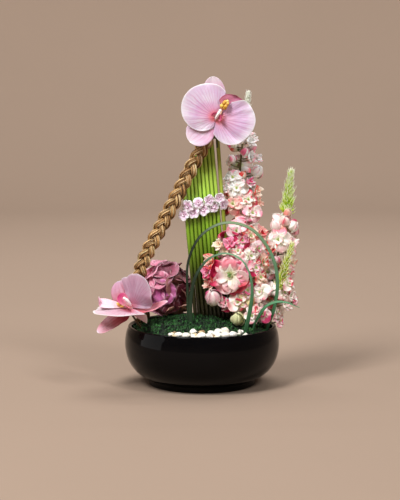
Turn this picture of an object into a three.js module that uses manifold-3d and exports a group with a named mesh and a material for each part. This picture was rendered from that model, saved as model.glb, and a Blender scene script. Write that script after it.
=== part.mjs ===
// An ikebana arrangement in a low black bowl: a leaning row of green reeds, a straw plait,
// two moth orchids, a hydrangea head, four flower spikes, three grass blades, moss and pebbles.
// Millimetres, +Z up, the origin at the middle of the bowl's foot, the front towards -Y.
import * as THREE from "three";
import { mergeVertices } from "three/addons/utils/BufferGeometryUtils.js";
import Module from "manifold-3d";

const wasm = await Module();
wasm.setup();

// ---- driving dimensions ----
const GAP = 0.35; // clearance between pieces that touch
const GOLDEN = THREE.MathUtils.degToRad(137.508); // angle from one floret to the next
const WORLD_UP = new THREE.Vector3(0, 0, 1);

const BOWL = { foot: 78, belly: 112.5, bellyHeight: 56, rim: 108, height: 86.5, segments: 32 };
const FOAM = { radius: 90, top: 73 };
const MOSS = { radius: 100, edge: 80, level: 84, mound: 15, x: -12, y: -8, spreadX: 50, spreadY: 42 };
const PEBBLE = {
  size: 6.6,
  pitch: 11.2,
  rows: [{ radius: 90, from: -112, count: 8 }, { radius: 79, from: -98, count: 5 }],
};

const REED = { radius: 2.62, pitch: 5.72, rowGap: 5, x: -9.5, y: -3, lean: 0.0875, foot: 32, ground: 98 };
const REED_ROWS = [{ count: 10, shift: 0 }, { count: 7, shift: 1.5 }];
const REED_TOP = { tall: 372, step: 2.2, firstTall: 5 };

const PLAIT = { wide: 7, deep: 4.4, half: 2.7, thick: 1.6, turns: 6.5, start: 0.4, steps: 52 };
const PLAIT_ROUTE = [[13, -13.5, 370], [7, -14.5, 358], [-19, -15.5, 310], [-44.7, -15, 260], [-70, -12, 211],
  [-86, -6, 178], [-93, 2, 150], [-92, 7, 122], [-87, 9, 98], [-84, 9, 75.5]];
const TIE = { x: 8.2, y: -8.2, halfX: 17.6, halfY: 13.3, corner: 4, wall: 1.6, from: 359, height: 6 };

const GARLAND = { z: 253, height: 12, wall: 1.2, radius: 9, count: 9, rise: 15 };

const ORCHID_PETAL = { rows: 3, columns: 8 };
const ORCHID_SEPAL = { claw: 3, along: 4, across: 2 };
// A petal: its angle, the spreads of its lip and dorsal sides, cup, folds on each side, twist,
// outline as [reach, along, across], and how far its lip-side corner is rounded off.
const petal = (angle, spreads, cup, folds, twist, outline, corner) =>
  ({ angle, spreads, cup, folds, twist, outline, corner });
const sepal = (angle, length, half, cup, twist, sag, widest) =>
  ({ angle, length, half, cup, twist, sag, widest });
// The lip's stations: [x, y, half width, height of its +x edge, height of its -x edge].
const ORCHIDS = [
  {
    name: "orchid_top", centre: [20, -46, 389.5], dorsal: [-0.53, 0, -0.848], normal: [-0.06, -0.98, 0.12],
    petals: [petal(-13, [65, 121], 6, [0.03, 0.08], 0, [22.5, 32, 36], 0),
      petal(203, [55, 92], 6, [0.12, 0.08], 0, [24, 31.5, 34.5], 0.26)],
    sepals: [sepal(72, 48, 20, -4, 0, 0, 0.58), sepal(-52, 57.5, 17, -4, 0, 0, 0.5),
      sepal(-138, 50, 18.5, -4, 0, 0, 0.55)],
    lip: [[0, -2.5, 2.6, 2.7, 2.7], [0, -10, 2.9, 4, 3.6], [0, -18, 2.7, 3.2, 0], [-1.5, -24, 11, 4.8, -3],
      [-7.5, -34, 14.5, 6, -2], [-11.5, -42, 9, 5, -0.5]],
    lobes: [{ angle: -146, length: 11, half: 5, cup: 62 }, { angle: -34, length: 11, half: 5, cup: 62 }],
    callus: { from: [-0.4, -18.5, 7.2], to: [-1.2, -28, 9], radius: 4.4 },
    column: [[0, 0.5, 3.55], [0, -0.5, 7], [0, -5, 10.5], [0, -11.5, 12]],
    stem: [[20.5, -13, 385], [20.6, -7.9, 366], [21.8, -7.55, 345]],
  },
  {
    name: "orchid_low", centre: [-103, -41, 118], dorsal: [0.985, 0.03, 0.14], normal: [-0.08, -0.72, 0.69],
    petals: [petal(-46, [66, 100], 42, [0.04, 0.04], 26, [24, 34, 42], 0),
      petal(155, [38, 82], 37, [0.08, 0.08], 25, [21, 30, 33], 0)],
    sepals: [sepal(90, 52, 14, 6, -35, 8, 0.5), sepal(-62, 56, 18, -8, 24, 0, 0.42),
      sepal(-166, 46, 19, 10, 5, 0, 0.45)],
    lip: [[0, -2.5, 2.6, 2.7, 2.7], [-2, -10, 3.4, 4.2, 4.2], [-5, -20, 6, 5.4, 5.4],
      [-9, -32, 8.5, 5.6, 5.6], [-12, -43, 7.5, 7, 7], [-15, -41.5, 3.5, 15, 15]],
    lobes: [{ angle: -130, length: 22, half: 9, cup: 45 }, { angle: -50, length: 8, half: 4.5, cup: 60 }],
    callus: { from: [-1.5, -11, 6.4], to: [-4, -17, 8.6], radius: 3 },
    column: [[0, 0.5, 3.55], [-0.5, 0.5, 8], [-2.5, -2, 13.5], [-5, -6, 18]],
    stem: [[-94, -29, 95], [-86, -25, 83], [-83, -25, 60]],
  },
];

const HYDRANGEA = {
  centre: [-52, 17, 137], core: 23, reach: 32, tall: 1.16, count: 21, radius: 13.8, stem: [-42, 14, 50],
};

// A spike's shares (from, to) run along its stem. Its reach and size go from the lowest to the highest.
// A rosette's whorls: [petals, radius, height].
const SPIKES = [
  {
    name: "spike_tall", radius: 2.1,
    stem: [[52, 15, 40], [53, 15, 90], [56, 18, 208], [54.5, 20, 296], [60, 20, 362], [67.5, 20, 425]],
    tip: { from: 0.885, count: 14, reach: 7.5, core: 2 },
    buds: { count: 14, from: 0.67, to: 0.88, reach: [13, 8], size: [8, 5.2] },
    florets: { count: 17, from: 0.2, to: 0.67, reach: [23, 10], size: [21, 16] },
  },
  {
    name: "spike_right", radius: 1.9,
    stem: [[88, 12, 40], [91, 12, 92], [103, 14, 150], [112, 15, 195], [122, 15, 245], [129.5, 15, 311]],
    tip: { from: 0.8, count: 24, reach: 9, core: 4.6 },
    buds: { count: 6, from: 0.7, to: 0.79, reach: [12, 9], size: [8.5, 7] },
    florets: { count: 9, from: 0.26, to: 0.69, reach: [19, 13], size: [21, 18] },
  },
  {
    name: "spike_low", radius: 1.7,
    stem: [[88, -17, 40], [93, -17, 92], [103, -15, 120], [113, -13, 148], [131, -11, 208]],
    tip: { from: 0.66, count: 20, reach: 8, core: 3.8 },
    buds: { count: 3, from: 0.6, to: 0.65, reach: [9, 7], size: [7, 6] },
    florets: { count: 7, from: 0.26, to: 0.6, reach: [19, 12], size: [18, 15] },
  },
  {
    name: "spike_front", radius: 1.9,
    stem: [[48, -20, 40], [48, -20, 92], [47, -17, 160], [48, -12, 200], [50, -9, 238]],
    buds: { count: 3, from: 0.94, to: 1, reach: [9, 4], size: [9, 8] },
    florets: { count: 9, from: 0.28, to: 0.94, reach: [22, 15], size: [19, 17] },
    rosette: { at: [41.5, -36, 164], from: [47, -17, 163], whorls: [[7, 33, 0], [6, 25, 3], [5, 15, 6]] },
  },
];

// A blade's half widths and the turns of its width, evenly spaced along its route.
const GRASS = [
  {
    name: "grass_outer_loop", steps: 22,
    wide: [2, 1.9, 2.1, 2.5, 2.6, 2.2],
    flat: [0.2, 0.35, 0.5, 0.4, 0.1, 0.3],
    route: [[-19, -33, 62], [-20, -33, 98], [-21, -33, 140], [-20, -34, 183], [-4, -38, 219],
      [20, -42, 237], [43, -45, 241], [70, -45, 232], [92, -42, 208], [105, -38, 178],
      [108, -34, 145], [103, -30, 112], [95, -26, 88], [90, -25, 62]],
  },
  {
    name: "grass_inner_loop", steps: 20,
    wide: [3.6, 3, 1.8, 1.4, 3.2, 3.2],
    flat: [0.1, 0.4, 1.3, 1.5, 0.4, 0.1],
    route: [[-13, -43, 62], [-16.5, -43, 98], [-16, -45, 135], [-8, -50, 167], [10, -57, 191], [34, -61, 199],
      [56, -64, 190], [68, -66, 168], [71, -66, 145], [68, -65, 118], [62, -63, 88], [59, -62, 62]],
  },
  {
    name: "grass_short_leaf", steps: 12,
    wide: [1.2, 1.5, 2.3, 2.8, 2.2, 0.35],
    flat: [0, 0, 0.2, 0.9, 1, 0.9],
    route: [[70, -48, 62], [74, -49, 92], [81, -52, 107], [91, -55, 122], [106, -58, 129],
      [122, -60, 128], [139, -61, 121]],
  },
];

// Colour and roughness.
const COLOURS = {
  glaze: [0x0b0b0c, 0.08],
  foam: [0x1f3a24, 0.95],
  moss: [0x14572c, 0.9],
  pebble: [0xe8e2d2, 0.45],
  reed: [0x6fa32a, 0.35],
  straw: [0xb08a52, 0.85],
  tape: [0x3d5a2a, 0.7],
  orchid: [0xe9b4d3, 0.6],
  lip: [0xc66aa6, 0.55],
  column: [0xfbf1ee, 0.5],
  stalk: [0x5b7a35, 0.6],
  floret: [0xead9ec, 0.6],
  hydrangea: [0xa9558a, 0.65],
  spike: [0xf0a9b8, 0.6],
  tip: [0xb7cf5a, 0.6],
  grass: [0x3f7a4c, 0.5],
};

// ---- solids ----
const vector = (point) => new THREE.Vector3(...point);
const smooth = (points) => new THREE.CatmullRomCurve3(points.map(vector), false, "centripetal");

// A closed solid from vertices and triangles, turned to face outwards.
function closed(vertices, triangles) {
  const faces = triangles.flat();
  const build = (list) => new wasm.Manifold(new wasm.Mesh({
    numProp: 3, vertProperties: new Float32Array(vertices.flat()), triVerts: new Uint32Array(list) }));
  const solid = build(faces);
  return solid.volume() >= 0 ? solid : build(faces.reverse());
}

// Leaves out the vertices that no triangle uses.
function compact(vertices, triangles) {
  const used = [...new Set(triangles.flat())];
  const place = new Map(used.map((old, now) => [old, now]));
  return [used.map((old) => vertices[old]), triangles.map((corners) => corners.map((old) => place.get(old)))];
}

function fromGeometry(geometry) {
  const bare = geometry.clone().deleteAttribute("normal").deleteAttribute("uv");
  const merged = mergeVertices(bare, 1e-3);
  const at = merged.attributes.position;
  const vertices = Array.from({ length: at.count }, (_, i) => [at.getX(i), at.getY(i), at.getZ(i)]);
  const index = merged.index.array;
  const triangles = Array.from({ length: index.length / 3 }, (_, i) => [...index.slice(3 * i, 3 * i + 3)]);
  return closed(vertices, triangles.filter(([a, b, c]) => a !== b && b !== c && a !== c));
}

const place = (solid, matrix) => solid.transform(matrix.elements);
const union = (solids) => wasm.Manifold.union(solids);
const largest = (solid) => solid.decompose().reduce((a, b) => (a.volume() > b.volume() ? a : b));

// Joins rings of points, each ring with as many points as the next, into one closed solid.
function loft(rings) {
  const sides = rings[0].length;
  const vertices = rings.flat();
  const triangles = [];
  for (let i = 0; i + 1 < rings.length; i++) {
    for (let j = 0; j < sides; j++) {
      const a = i * sides + j;
      const b = i * sides + (j + 1) % sides;
      triangles.push([a, b, b + sides], [a, b + sides, a + sides]);
    }
  }
  const last = (rings.length - 1) * sides;
  for (let j = 1; j + 1 < sides; j++) triangles.push([0, j + 1, j], [last, last + j, last + j + 1]);
  return closed(vertices, triangles);
}

// Sweeps a section along a curve. section(u) gives [sideways, outwards] points.
// Outwards stays near the reference direction.
function sweep(curve, steps, section, reference = new THREE.Vector3(0, -1, 0)) {
  const rings = [];
  for (let i = 0; i <= steps; i++) {
    const u = i / steps;
    const centre = curve.getPoint(u);
    const along = curve.getTangent(u);
    const side = along.clone().cross(reference).normalize();
    const out = side.clone().cross(along).normalize();
    const at = ([a, b]) => centre.clone().addScaledVector(side, a).addScaledVector(out, b).toArray();
    rings.push(section(u).map(at));
  }
  return loft(rings);
}

const ring = (sides, a, b = a) => Array.from({ length: sides }, (_, i) => {
  const t = (2 * Math.PI * (i + 0.5)) / sides;
  return [a * Math.cos(t), b * Math.sin(t)];
});

const rod = (from, to, radius, sides = 6, end = radius) =>
  sweep(new THREE.LineCurve3(from, to), 1, (u) => ring(sides, radius + (end - radius) * u), across(from, to));

// A direction that is well away from the line between two points.
function across(from, to) {
  const along = to.clone().sub(from).normalize();
  return Math.abs(along.y) > 0.8 ? WORLD_UP : new THREE.Vector3(0, -1, 0);
}

// A thin blade over surface(u, v), with both faces split into triangles alike.
function blade(surface, along, acrossSteps, thickness) {
  const at = (i, j) => surface(i / along, (2 * j) / acrossSteps - 1);
  const step = 1e-3;
  const top = [];
  const under = [];
  for (let i = 0; i <= along; i++) {
    for (let j = 0; j <= acrossSteps; j++) {
      const u = Math.min(i / along, 1 - step);
      const v = Math.min((2 * j) / acrossSteps - 1, 1 - step);
      const here = surface(u, v);
      const normal = surface(u + step, v).sub(here).cross(surface(u, v + step).sub(here)).normalize();
      const point = at(i, j);
      top.push(point.toArray());
      under.push(point.clone().addScaledVector(normal, -thickness).toArray());
    }
  }
  const row = acrossSteps + 1;
  const shift = top.length;
  const triangles = [];
  for (let i = 0; i < along; i++) {
    for (let j = 0; j < acrossSteps; j++) {
      const a = i * row + j;
      const quad = [[a, a + row, a + row + 1], [a, a + row + 1, a + 1]];
      for (const [p, q, r] of quad) triangles.push([p, q, r], [p + shift, r + shift, q + shift]);
    }
  }
  const border = [];
  for (let j = 0; j < acrossSteps; j++) border.push(j);
  for (let i = 0; i < along; i++) border.push(i * row + acrossSteps);
  for (let j = acrossSteps; j > 0; j--) border.push(along * row + j);
  for (let i = along; i > 0; i--) border.push(i * row);
  border.forEach((a, k) => {
    const b = border[(k + 1) % border.length];
    triangles.push([a, b, b + shift], [a, b + shift, a + shift]);
  });
  return closed([...top, ...under], triangles);
}

// A lobed flower in one thin cupped blade, three outline points to a lobe, facing +Z from its centre.
// With a stalk it stands on a three-sided one that runs straight down.
function lobedBlade({ lobes, radius, notch = 0.42, cup = 0.3, thickness = 0.8, stalk = 0 }) {
  const points = lobes * 3;
  const outline = Array.from({ length: points }, (_, i) => {
    const reach = radius * (i % 3 === 0 ? notch : 1);
    const t = (2 * Math.PI * i) / points;
    return [reach * Math.cos(t), reach * Math.sin(t), (cup * reach * reach) / radius];
  });
  const shift = points + 1;
  const under = outline.map(([x, y, z]) => [x, y, z - thickness]);
  const vertices = [[0, 0, 0], ...outline, [0, 0, -thickness], ...under];
  const triangles = [];
  for (let i = 1; i <= points; i++) {
    const next = (i % points) + 1;
    triangles.push([0, i, next], [i, shift + i, shift + next], [i, shift + next, next]);
    if (!stalk) triangles.push([shift, shift + next, shift + i]);
  }
  if (stalk) {
    const neck = vertices.length;
    const level = (z) => ring(3, 1).map(([x, y]) => [x, y, z]);
    vertices.push(...level(-thickness), ...level(-stalk));
    const third = points / 3;
    for (let i = 0; i < points; i++) {
      const [a, b] = [shift + 1 + i, shift + 1 + (i + 1) % points];
      triangles.push([a, neck + Math.floor(i / third), b]);
    }
    for (let k = 0; k < 3; k++) {
      const next = (k + 1) % 3;
      triangles.push([shift + 1 + (next * third) % points, neck + k, neck + next]);
      triangles.push([neck + k, neck + k + 3, neck + next + 3], [neck + k, neck + next + 3, neck + next]);
    }
    triangles.push([neck + 3, neck + 5, neck + 4]);
  }
  return closed(...compact(vertices, triangles));
}

// A closed bud on its stalk, its middle at the origin and its tip towards +Z.
function budOnStalk(size, stalk) {
  const level = (radius, z) => ring(4, radius).map(([x, y]) => [x, y, z]);
  return loft([level(0.9, -stalk), level(0.9, -size), level(size, -0.1 * size), level(size * 0.4, size)]);
}

// A matrix that stands a piece at a point with its +Z along facing.
function facing(at, direction, turn = 0) {
  const spin = new THREE.Quaternion().setFromAxisAngle(WORLD_UP, turn);
  const swing = new THREE.Quaternion().setFromUnitVectors(WORLD_UP, direction.clone().normalize());
  return new THREE.Matrix4().compose(at, swing.multiply(spin), new THREE.Vector3(1, 1, 1));
}

// ---- the arrangement's list of finished solids ----
const finished = new Map();
const group = new THREE.Group();

function add(name, solid, colour) {
  const body = largest(solid);
  finished.set(name, body);
  const { vertProperties, triVerts } = body.getMesh();
  const geometry = new THREE.BufferGeometry()
    .setAttribute("position", new THREE.BufferAttribute(vertProperties, 3))
    .setIndex(new THREE.BufferAttribute(triVerts, 1));
  const [color, roughness] = COLOURS[colour];
  const mesh = new THREE.Mesh(geometry, new THREE.MeshStandardMaterial({ color, roughness, metalness: 0 }));
  mesh.name = name;
  group.add(mesh);
}

// True where a solid keeps its clearance from every finished piece and from the other spikes' room.
function isClear(solid, owner = "", clearance = GAP + 0.1) {
  const { min, max } = solid.boundingBox();
  const others = [...finished.values(), ...SPIKES.filter(({ name }) => name !== owner).map(spikeRoom)];
  for (const other of others) {
    const box = other.boundingBox();
    const near = min.every((low, i) => low - clearance < box.max[i] && max[i] + clearance > box.min[i]);
    if (near && solid.minGap(other, clearance) < clearance) return false;
  }
  return true;
}

// ---- bowl, foam, moss and pebbles ----
function bowl() {
  const { foot, belly, bellyHeight, rim, height } = BOWL;
  const outer = new THREE.CatmullRomCurve3([[80, 0, 9], [96, 0, 19], [107, 0, 34], [belly, 0, bellyHeight],
    [111, 0, 75], [rim, 0, 84]].map(vector)).getPoints(6);
  const inner = new THREE.CatmullRomCurve3([[102, 0, 84], [105.5, 0, 66], [103, 0, 46], [92, 0, 27],
    [70, 0, 14.5], [45, 0, 10.5]].map(vector)).getPoints(5);
  const profile = [[0, 0], [foot - 2, 0], [foot, 2], [foot, 7], ...outer.map((p) => [p.x, p.z]),
    [rim - 2, height], [rim - 4.5, height], ...inner.map((p) => [p.x, p.z]), [0, 10]];
  const turned = new THREE.LatheGeometry(profile.map(([r, z]) => new THREE.Vector2(r, z)), BOWL.segments);
  return fromGeometry(turned.rotateX(Math.PI / 2));
}

function foam() {
  const { radius, top } = FOAM;
  const floor = 10.5 + GAP;
  const profile = [[0, floor], [43, floor], [62, 15.8], [79, 25], [radius, 37], [radius, top], [0, top]];
  const turned = new THREE.LatheGeometry(profile.map(([r, z]) => new THREE.Vector2(r, z)), 16);
  return fromGeometry(turned.rotateX(Math.PI / 2));
}

// Height of the moss: a mound that carries the reeds, falling to the rim.
function mossHeight(x, y) {
  const { level, mound, x: cx, y: cy, spreadX, spreadY, radius, edge } = MOSS;
  const hump = mound * Math.exp(-(((x - cx) / spreadX) ** 2 + ((y - cy) / spreadY) ** 2) / 2);
  const fall = Math.max(0, Math.hypot(x, y) / radius - 0.78) / 0.22;
  return level + hump - (level - edge + hump * 0.6) * fall * fall;
}

function moss() {
  const segments = 20;
  const rings = [0.34, 0.62, 0.85, 1];
  const under = FOAM.top + GAP;
  const vertices = [[0, 0, mossHeight(0, 0)]];
  for (const [k, share] of rings.entries()) {
    for (let j = 0; j < segments; j++) {
      const t = (2 * Math.PI * (j + (k % 2) / 2)) / segments;
      const [x, y] = [MOSS.radius * share * Math.cos(t), MOSS.radius * share * Math.sin(t)];
      const lumps = 1.2 * Math.sin(0.19 * x + 1) * Math.cos(0.17 * y) * (1 - share);
      vertices.push([x, y, mossHeight(x, y) + lumps]);
    }
  }
  const rim = vertices.slice(-segments);
  vertices.push(...rim.map(([x, y]) => [x * 0.9, y * 0.9, under]), [0, 0, under]);
  const triangles = [];
  const at = (k, j) => 1 + k * segments + (j % segments);
  for (let j = 0; j < segments; j++) {
    triangles.push([0, at(0, j), at(0, j + 1)]);
    for (let k = 0; k < rings.length; k++) {
      const odd = k % 2 === 1 && k + 1 < rings.length;
      const [a, b, c, d] = [at(k, j), at(k, j + 1), at(k + 1, j), at(k + 1, j + 1)];
      if (odd) triangles.push([a, c, d], [a, d, b]);
      else triangles.push([a, c, b], [b, c, d]);
    }
    triangles.push([at(rings.length, j), vertices.length - 1, at(rings.length, j + 1)]);
  }
  return closed(vertices, triangles);
}

// A repeatable share from 0 to 1 for the n-th draw of a series.
const draw = (n, series = 0) => {
  const x = Math.sin(12.9898 * n + 78.233 * series) * 43758.5453;
  return x - Math.floor(x);
};

function pebbles() {
  const stones = [];
  for (const [row, { radius, from, count }] of PEBBLE.rows.entries()) {
    for (let i = 0; i < count; i++) {
      const angle = THREE.MathUtils.degToRad(from) + (i * PEBBLE.pitch) / radius;
      const [x, y] = [radius * Math.cos(angle), radius * Math.sin(angle)];
      const size = PEBBLE.size * (0.92 + 0.2 * draw(i, row + 1));
      const stone = new THREE.IcosahedronGeometry(1.06 * size, 0)
        .scale(1.05, 0.95, 0.75).rotateZ(6 * draw(i, row + 3))
        .translate(x, y, mossHeight(x, y) + size * 0.72 + 2 * GAP + (row ? 0.6 : 0));
      stones.push(fromGeometry(stone));
    }
  }
  return union(stones);
}

// ---- reeds ----
const plaitCurve = smooth(PLAIT_ROUTE);

// The straight line of a reed: its number in its row, its row, and its top.
function reedLine(index, row) {
  const { pitch, rowGap, x, y, lean, foot, ground } = REED;
  const number = index + REED_ROWS[row].shift;
  const splay = row === 0 && index === REED_ROWS[0].count - 1 ? 0.012 : 0;
  const slant = lean - splay;
  const at = (z) => new THREE.Vector3(x + number * pitch - slant * (z - ground), y + row * rowGap, z);
  const [plaitTop, plaitMiddle] = [PLAIT_ROUTE[1], PLAIT_ROUTE[3]];
  const slope = (plaitTop[2] - plaitMiddle[2]) / (plaitTop[0] - plaitMiddle[0]);
  const meets = (plaitTop[2] + slope * (at(0).x - plaitTop[0])) / (1 + slope * slant);
  const tall = REED_TOP.tall + REED_TOP.step * (number % 3);
  return { from: at(foot), to: at(number >= REED_TOP.firstTall ? tall : meets + 5) };
}

const reedName = (row, index) => `reed_${row ? "back" : "front"}_${index + 1}`;

function reeds() {
  REED_ROWS.forEach(({ count }, row) => {
    for (let i = 0; i < count; i++) {
      const { from, to } = reedLine(i, row);
      const line = new THREE.LineCurve3(from, to);
      add(reedName(row, i), sweep(line, 1, (u) => ring(8, REED.radius * (1 - 0.06 * u))), "reed");
    }
  });
}

// The slot in the foam and moss that the whole row of reeds stands in.
function reedSlot() {
  const { from: first } = reedLine(0, 0);
  const { from: last } = reedLine(REED_ROWS[0].count - 1, 0);
  const margin = REED.radius + GAP + 0.1;
  const level = (z, y0, y1) => {
    const shift = -REED.lean * (z - REED.foot);
    const [x0, x1] = [first.x + shift - margin, last.x + shift + margin + 1.5];
    return [[x0, y0, z], [x1, y0, z], [x1, y1, z], [x0, y1, z]];
  };
  const [front, back] = [REED.y - margin, REED.y + REED.rowGap + margin];
  return loft([level(REED.foot - 2 * GAP, front, back), level(120, front, back)]);
}

// ---- plait, tie and garland ----
// The strands change over in steps, so that each one lies flat where it crosses another.
function plaitStrand(k) {
  const { wide, deep, half, thick, turns, start, steps } = PLAIT;
  class Strand extends THREE.Curve {
    getPoint(u) {
      const t = 2 * Math.PI * (turns * u + k / 3) + start;
      const weave = Math.sin(2 * t) / Math.sqrt(0.5 + 0.5 * Math.sin(2 * t) ** 2);
      const along = plaitCurve.getTangentAt(u);
      const side = along.clone().cross(new THREE.Vector3(0, -1, 0)).normalize();
      const out = side.clone().cross(along).normalize();
      const middle = plaitCurve.getPointAt(u);
      return middle.addScaledVector(side, wide * Math.sin(t)).addScaledVector(out, deep * weave);
    }
  }
  return sweep(new Strand(), steps, () => [[half, thick], [-half, thick], [-half, -thick], [half, -thick]]);
}

function roundedLoop(halfX, halfY, corner) {
  const loop = new THREE.Shape();
  loop.absarc(halfX - corner, halfY - corner, corner, 0, Math.PI / 2);
  loop.absarc(corner - halfX, halfY - corner, corner, Math.PI / 2, Math.PI);
  loop.absarc(corner - halfX, corner - halfY, corner, Math.PI, 1.5 * Math.PI);
  loop.absarc(halfX - corner, corner - halfY, corner, 1.5 * Math.PI, 2 * Math.PI);
  return loop;
}

// A band of tape or wire with a rounded outline, standing level.
function band(halfX, halfY, corner, wall, height) {
  const loop = roundedLoop(halfX + wall, halfY + wall, corner + wall);
  loop.holes.push(new THREE.Path(roundedLoop(halfX, halfY, corner).getPoints(3).reverse()));
  const settings = { depth: height, bevelEnabled: false, curveSegments: 3 };
  return fromGeometry(new THREE.ExtrudeGeometry(loop, settings));
}

function tie() {
  const { x, y, halfX, halfY, corner, wall, from, height } = TIE;
  return band(halfX, halfY, corner, wall, height).translate(x, y, from);
}

// The row's middle and half width at the garland's height.
function rowAt(z) {
  const margin = REED.radius + GAP + 0.15;
  const [left, right] = [0, REED_ROWS[0].count - 1].map((i) => {
    const { from, to } = reedLine(i, 0);
    return from.clone().lerp(to, (z - from.z) / (to.z - from.z)).x;
  });
  return { x: (left + right) / 2, halfX: (right - left) / 2 + margin, halfY: REED.rowGap / 2 + margin };
}

// The band climbs to the right with its florets, its walls kept upright.
function garlandBand() {
  const { x, halfX, halfY } = rowAt(GARLAND.z + GARLAND.height / 2);
  const hoop = band(halfX + 0.9, halfY, 4.5, GARLAND.wall, GARLAND.height);
  const climb = new THREE.Matrix4().makeShear(0, GARLAND.rise / (2 * halfX), 0, 0, 0, 0);
  return place(hoop, climb).translate(x, REED.y + REED.rowGap / 2, GARLAND.z);
}

// Where the garland's florets sit: in two lines that climb to the right, the upper one further out.
function garlandFlorets() {
  const { x, halfX, halfY } = rowAt(GARLAND.z + GARLAND.height / 2);
  const front = REED.y + REED.rowGap / 2 - halfY - GARLAND.wall / 2;
  return Array.from({ length: GARLAND.count }, (_, i) => {
    const across = (2 * i) / (GARLAND.count - 1) - 1;
    const upper = i % 2 === 1;
    const out = (upper ? 6.2 : 3.2) + 1.6 * (1 - across * across);
    const stem = new THREE.Vector3(x + across * (halfX - 1.5), front,
      GARLAND.z + GARLAND.height / 2 + (upper ? 4.8 : -4.8) + 0.5 * GARLAND.rise * across);
    const direction = new THREE.Vector3(0.5 * across, -1, upper ? 0.12 : -0.12);
    return { at: stem.clone().addScaledVector(direction, out), direction, stalk: out * direction.length() };
  });
}

function garland() {
  const blooms = garlandFlorets().map(({ at, direction, stalk }, i) => {
    const floret = lobedBlade({ lobes: 5, radius: GARLAND.radius, cup: 0.25, notch: 0.6, stalk });
    return place(floret, facing(at, direction, i));
  });
  return union([garlandBand(), ...blooms]);
}

// ---- orchids ----
function orchidMatrix({ centre, dorsal, normal }) {
  const z = vector(normal).normalize();
  const y = vector(dorsal).addScaledVector(z, -z.dot(vector(dorsal))).normalize();
  const x = y.clone().cross(z);
  return new THREE.Matrix4().makeBasis(x, y, z).setPosition(...centre);
}

// Half the width of a tepal at a share of its length, with a narrow claw and a round end.
function tepalHalf(u, { half, claw, widest }) {
  if (u < widest) return claw + (half - claw) * Math.pow(Math.sin((Math.PI / 2) * (u / widest)), 0.75);
  const t = Math.min((u - widest) / (1 - widest), 1);
  return half * Math.sqrt(Math.max(1 - t * t, 0.012));
}

// Turns a point that lies out from the flower's middle, and to one side, round to an angle.
function swung(angle, out, side, height) {
  const turn = THREE.MathUtils.degToRad(angle);
  const [c, s] = [Math.cos(turn), Math.sin(turn)];
  return new THREE.Vector3(out * c - side * s, out * s + side * c, height);
}

// A value that eases from 0 to 1.
function ease(value) {
  const t = Math.min(Math.max(value, 0), 1);
  return t * t * (3 - 2 * t);
}

// A point along a tepal and to its side, where the tepal rises by cup degrees and turns by twist.
function raised({ angle, cup, flat, twist = 0, over = 18 }, along, side, height) {
  const rise = THREE.MathUtils.degToRad(cup);
  const turn = THREE.MathUtils.degToRad(twist) * ease((along - 6) / over);
  const bent = Math.max(along - flat, 0);
  const lift = side * Math.sin(turn);
  const out = Math.min(along, flat) + bent * Math.cos(rise) - lift * Math.sin(rise);
  const up = height + bent * Math.sin(rise) + lift * Math.cos(rise);
  return swung(angle, out, side * Math.cos(turn), up);
}

function sepalSurface(shape) {
  const { length, half, sag } = shape;
  const bend = { ...shape, flat: 6.5, over: 20 };
  return (share, v) => {
    const u = 1 - Math.pow(1 - share, 1.35);
    const side = tepalHalf(u, { ...shape, claw: ORCHID_SEPAL.claw }) * v;
    const hollow = 0.04 * half * v * v * Math.sin(Math.PI * Math.min(u, 0.9));
    const droop = 0.02 * length * u * u + sag * Math.sin(Math.PI * u) ** 2;
    return raised(bend, 2.5 + length * u, side, -2.6 + hollow - droop + 0.4 * Math.sin(4 * v + 5 * u) * u);
  };
}

// One of the lip's side lobes, which stands up beside the column.
function lobeSurface(shape) {
  const { length, half } = shape;
  const bend = { ...shape, flat: 2.6 };
  return (share, v) => {
    const u = 1 - Math.pow(1 - share, 1.35);
    const side = tepalHalf(u, { half, claw: 2.6, widest: 0.6 }) * v;
    const hollow = 0.3 * half * v * v * Math.sin(Math.PI * Math.min(u, 0.9));
    return raised(bend, 2.5 + length * u, side, 2.7 + hollow);
  };
}

// The lip's middle: a claw that widens into a shallow dish with a rim on its +x side.
function lipSurface(stations) {
  return (u, v) => {
    const place = u * (stations.length - 1);
    const i = Math.min(Math.floor(place), stations.length - 2);
    const [x, y, half, upper, lower] = stations[i].map((value, k) =>
      value + (place - i) * (stations[i + 1][k] - value));
    const end = Math.max((u - 0.84) / 0.16, 0);
    const width = half * Math.sqrt(1 - 0.75 * end * end);
    const dish = 1.2 * ease((u - 0.4) / 0.3) * (Math.max(v, 0) ** 3 + 0.15 * v * v);
    const height = lower + (upper - lower) * (v + 1) / 2 + dish + 4.8 * Math.max(u - 0.85, 0);
    return new THREE.Vector3(x + width * v, y, height);
  };
}

// Distance from the flower's middle to a petal's round outline, at an angle from the petal's axis.
function petalReach(angle, [reach, along, across]) {
  const [c, s] = [Math.cos(angle), Math.sin(angle)];
  const square = (c / along) ** 2 + (s / across) ** 2;
  const half = (reach * c) / along ** 2;
  return (half + Math.sqrt(half * half - square * ((reach / along) ** 2 - 1))) / square;
}

// A broad petal that fans out from the middle, its dorsal side (v > 0) spreading further than its lip side.
function petalSurface(shape, hand) {
  const { outline, corner, spreads, folds } = shape;
  const inner = 2.4;
  const bend = { ...shape, twist: shape.twist * hand, flat: 7 };
  return (u, v) => {
    const part = v < 0 ? 0 : 1;
    const spread = THREE.MathUtils.degToRad(v * spreads[part]) * hand;
    const reach = petalReach(spread, outline) * (1 - corner * ease((-v - 0.7) / 0.3));
    const radius = inner + (reach - inner) * u;
    const [along, side] = [radius * Math.cos(spread), radius * Math.sin(spread)];
    const fold = (folds[part] * side * side * u) / outline[2];
    return raised(bend, along, side, 0.4 + fold + 0.9 * u * u * Math.sin(6 * v + 1) - 1.6 * u * u);
  };
}

const hub = (radius, from, to) => rod(vector([0, 0, from]), vector([0, 0, to]), radius, 8);

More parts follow.
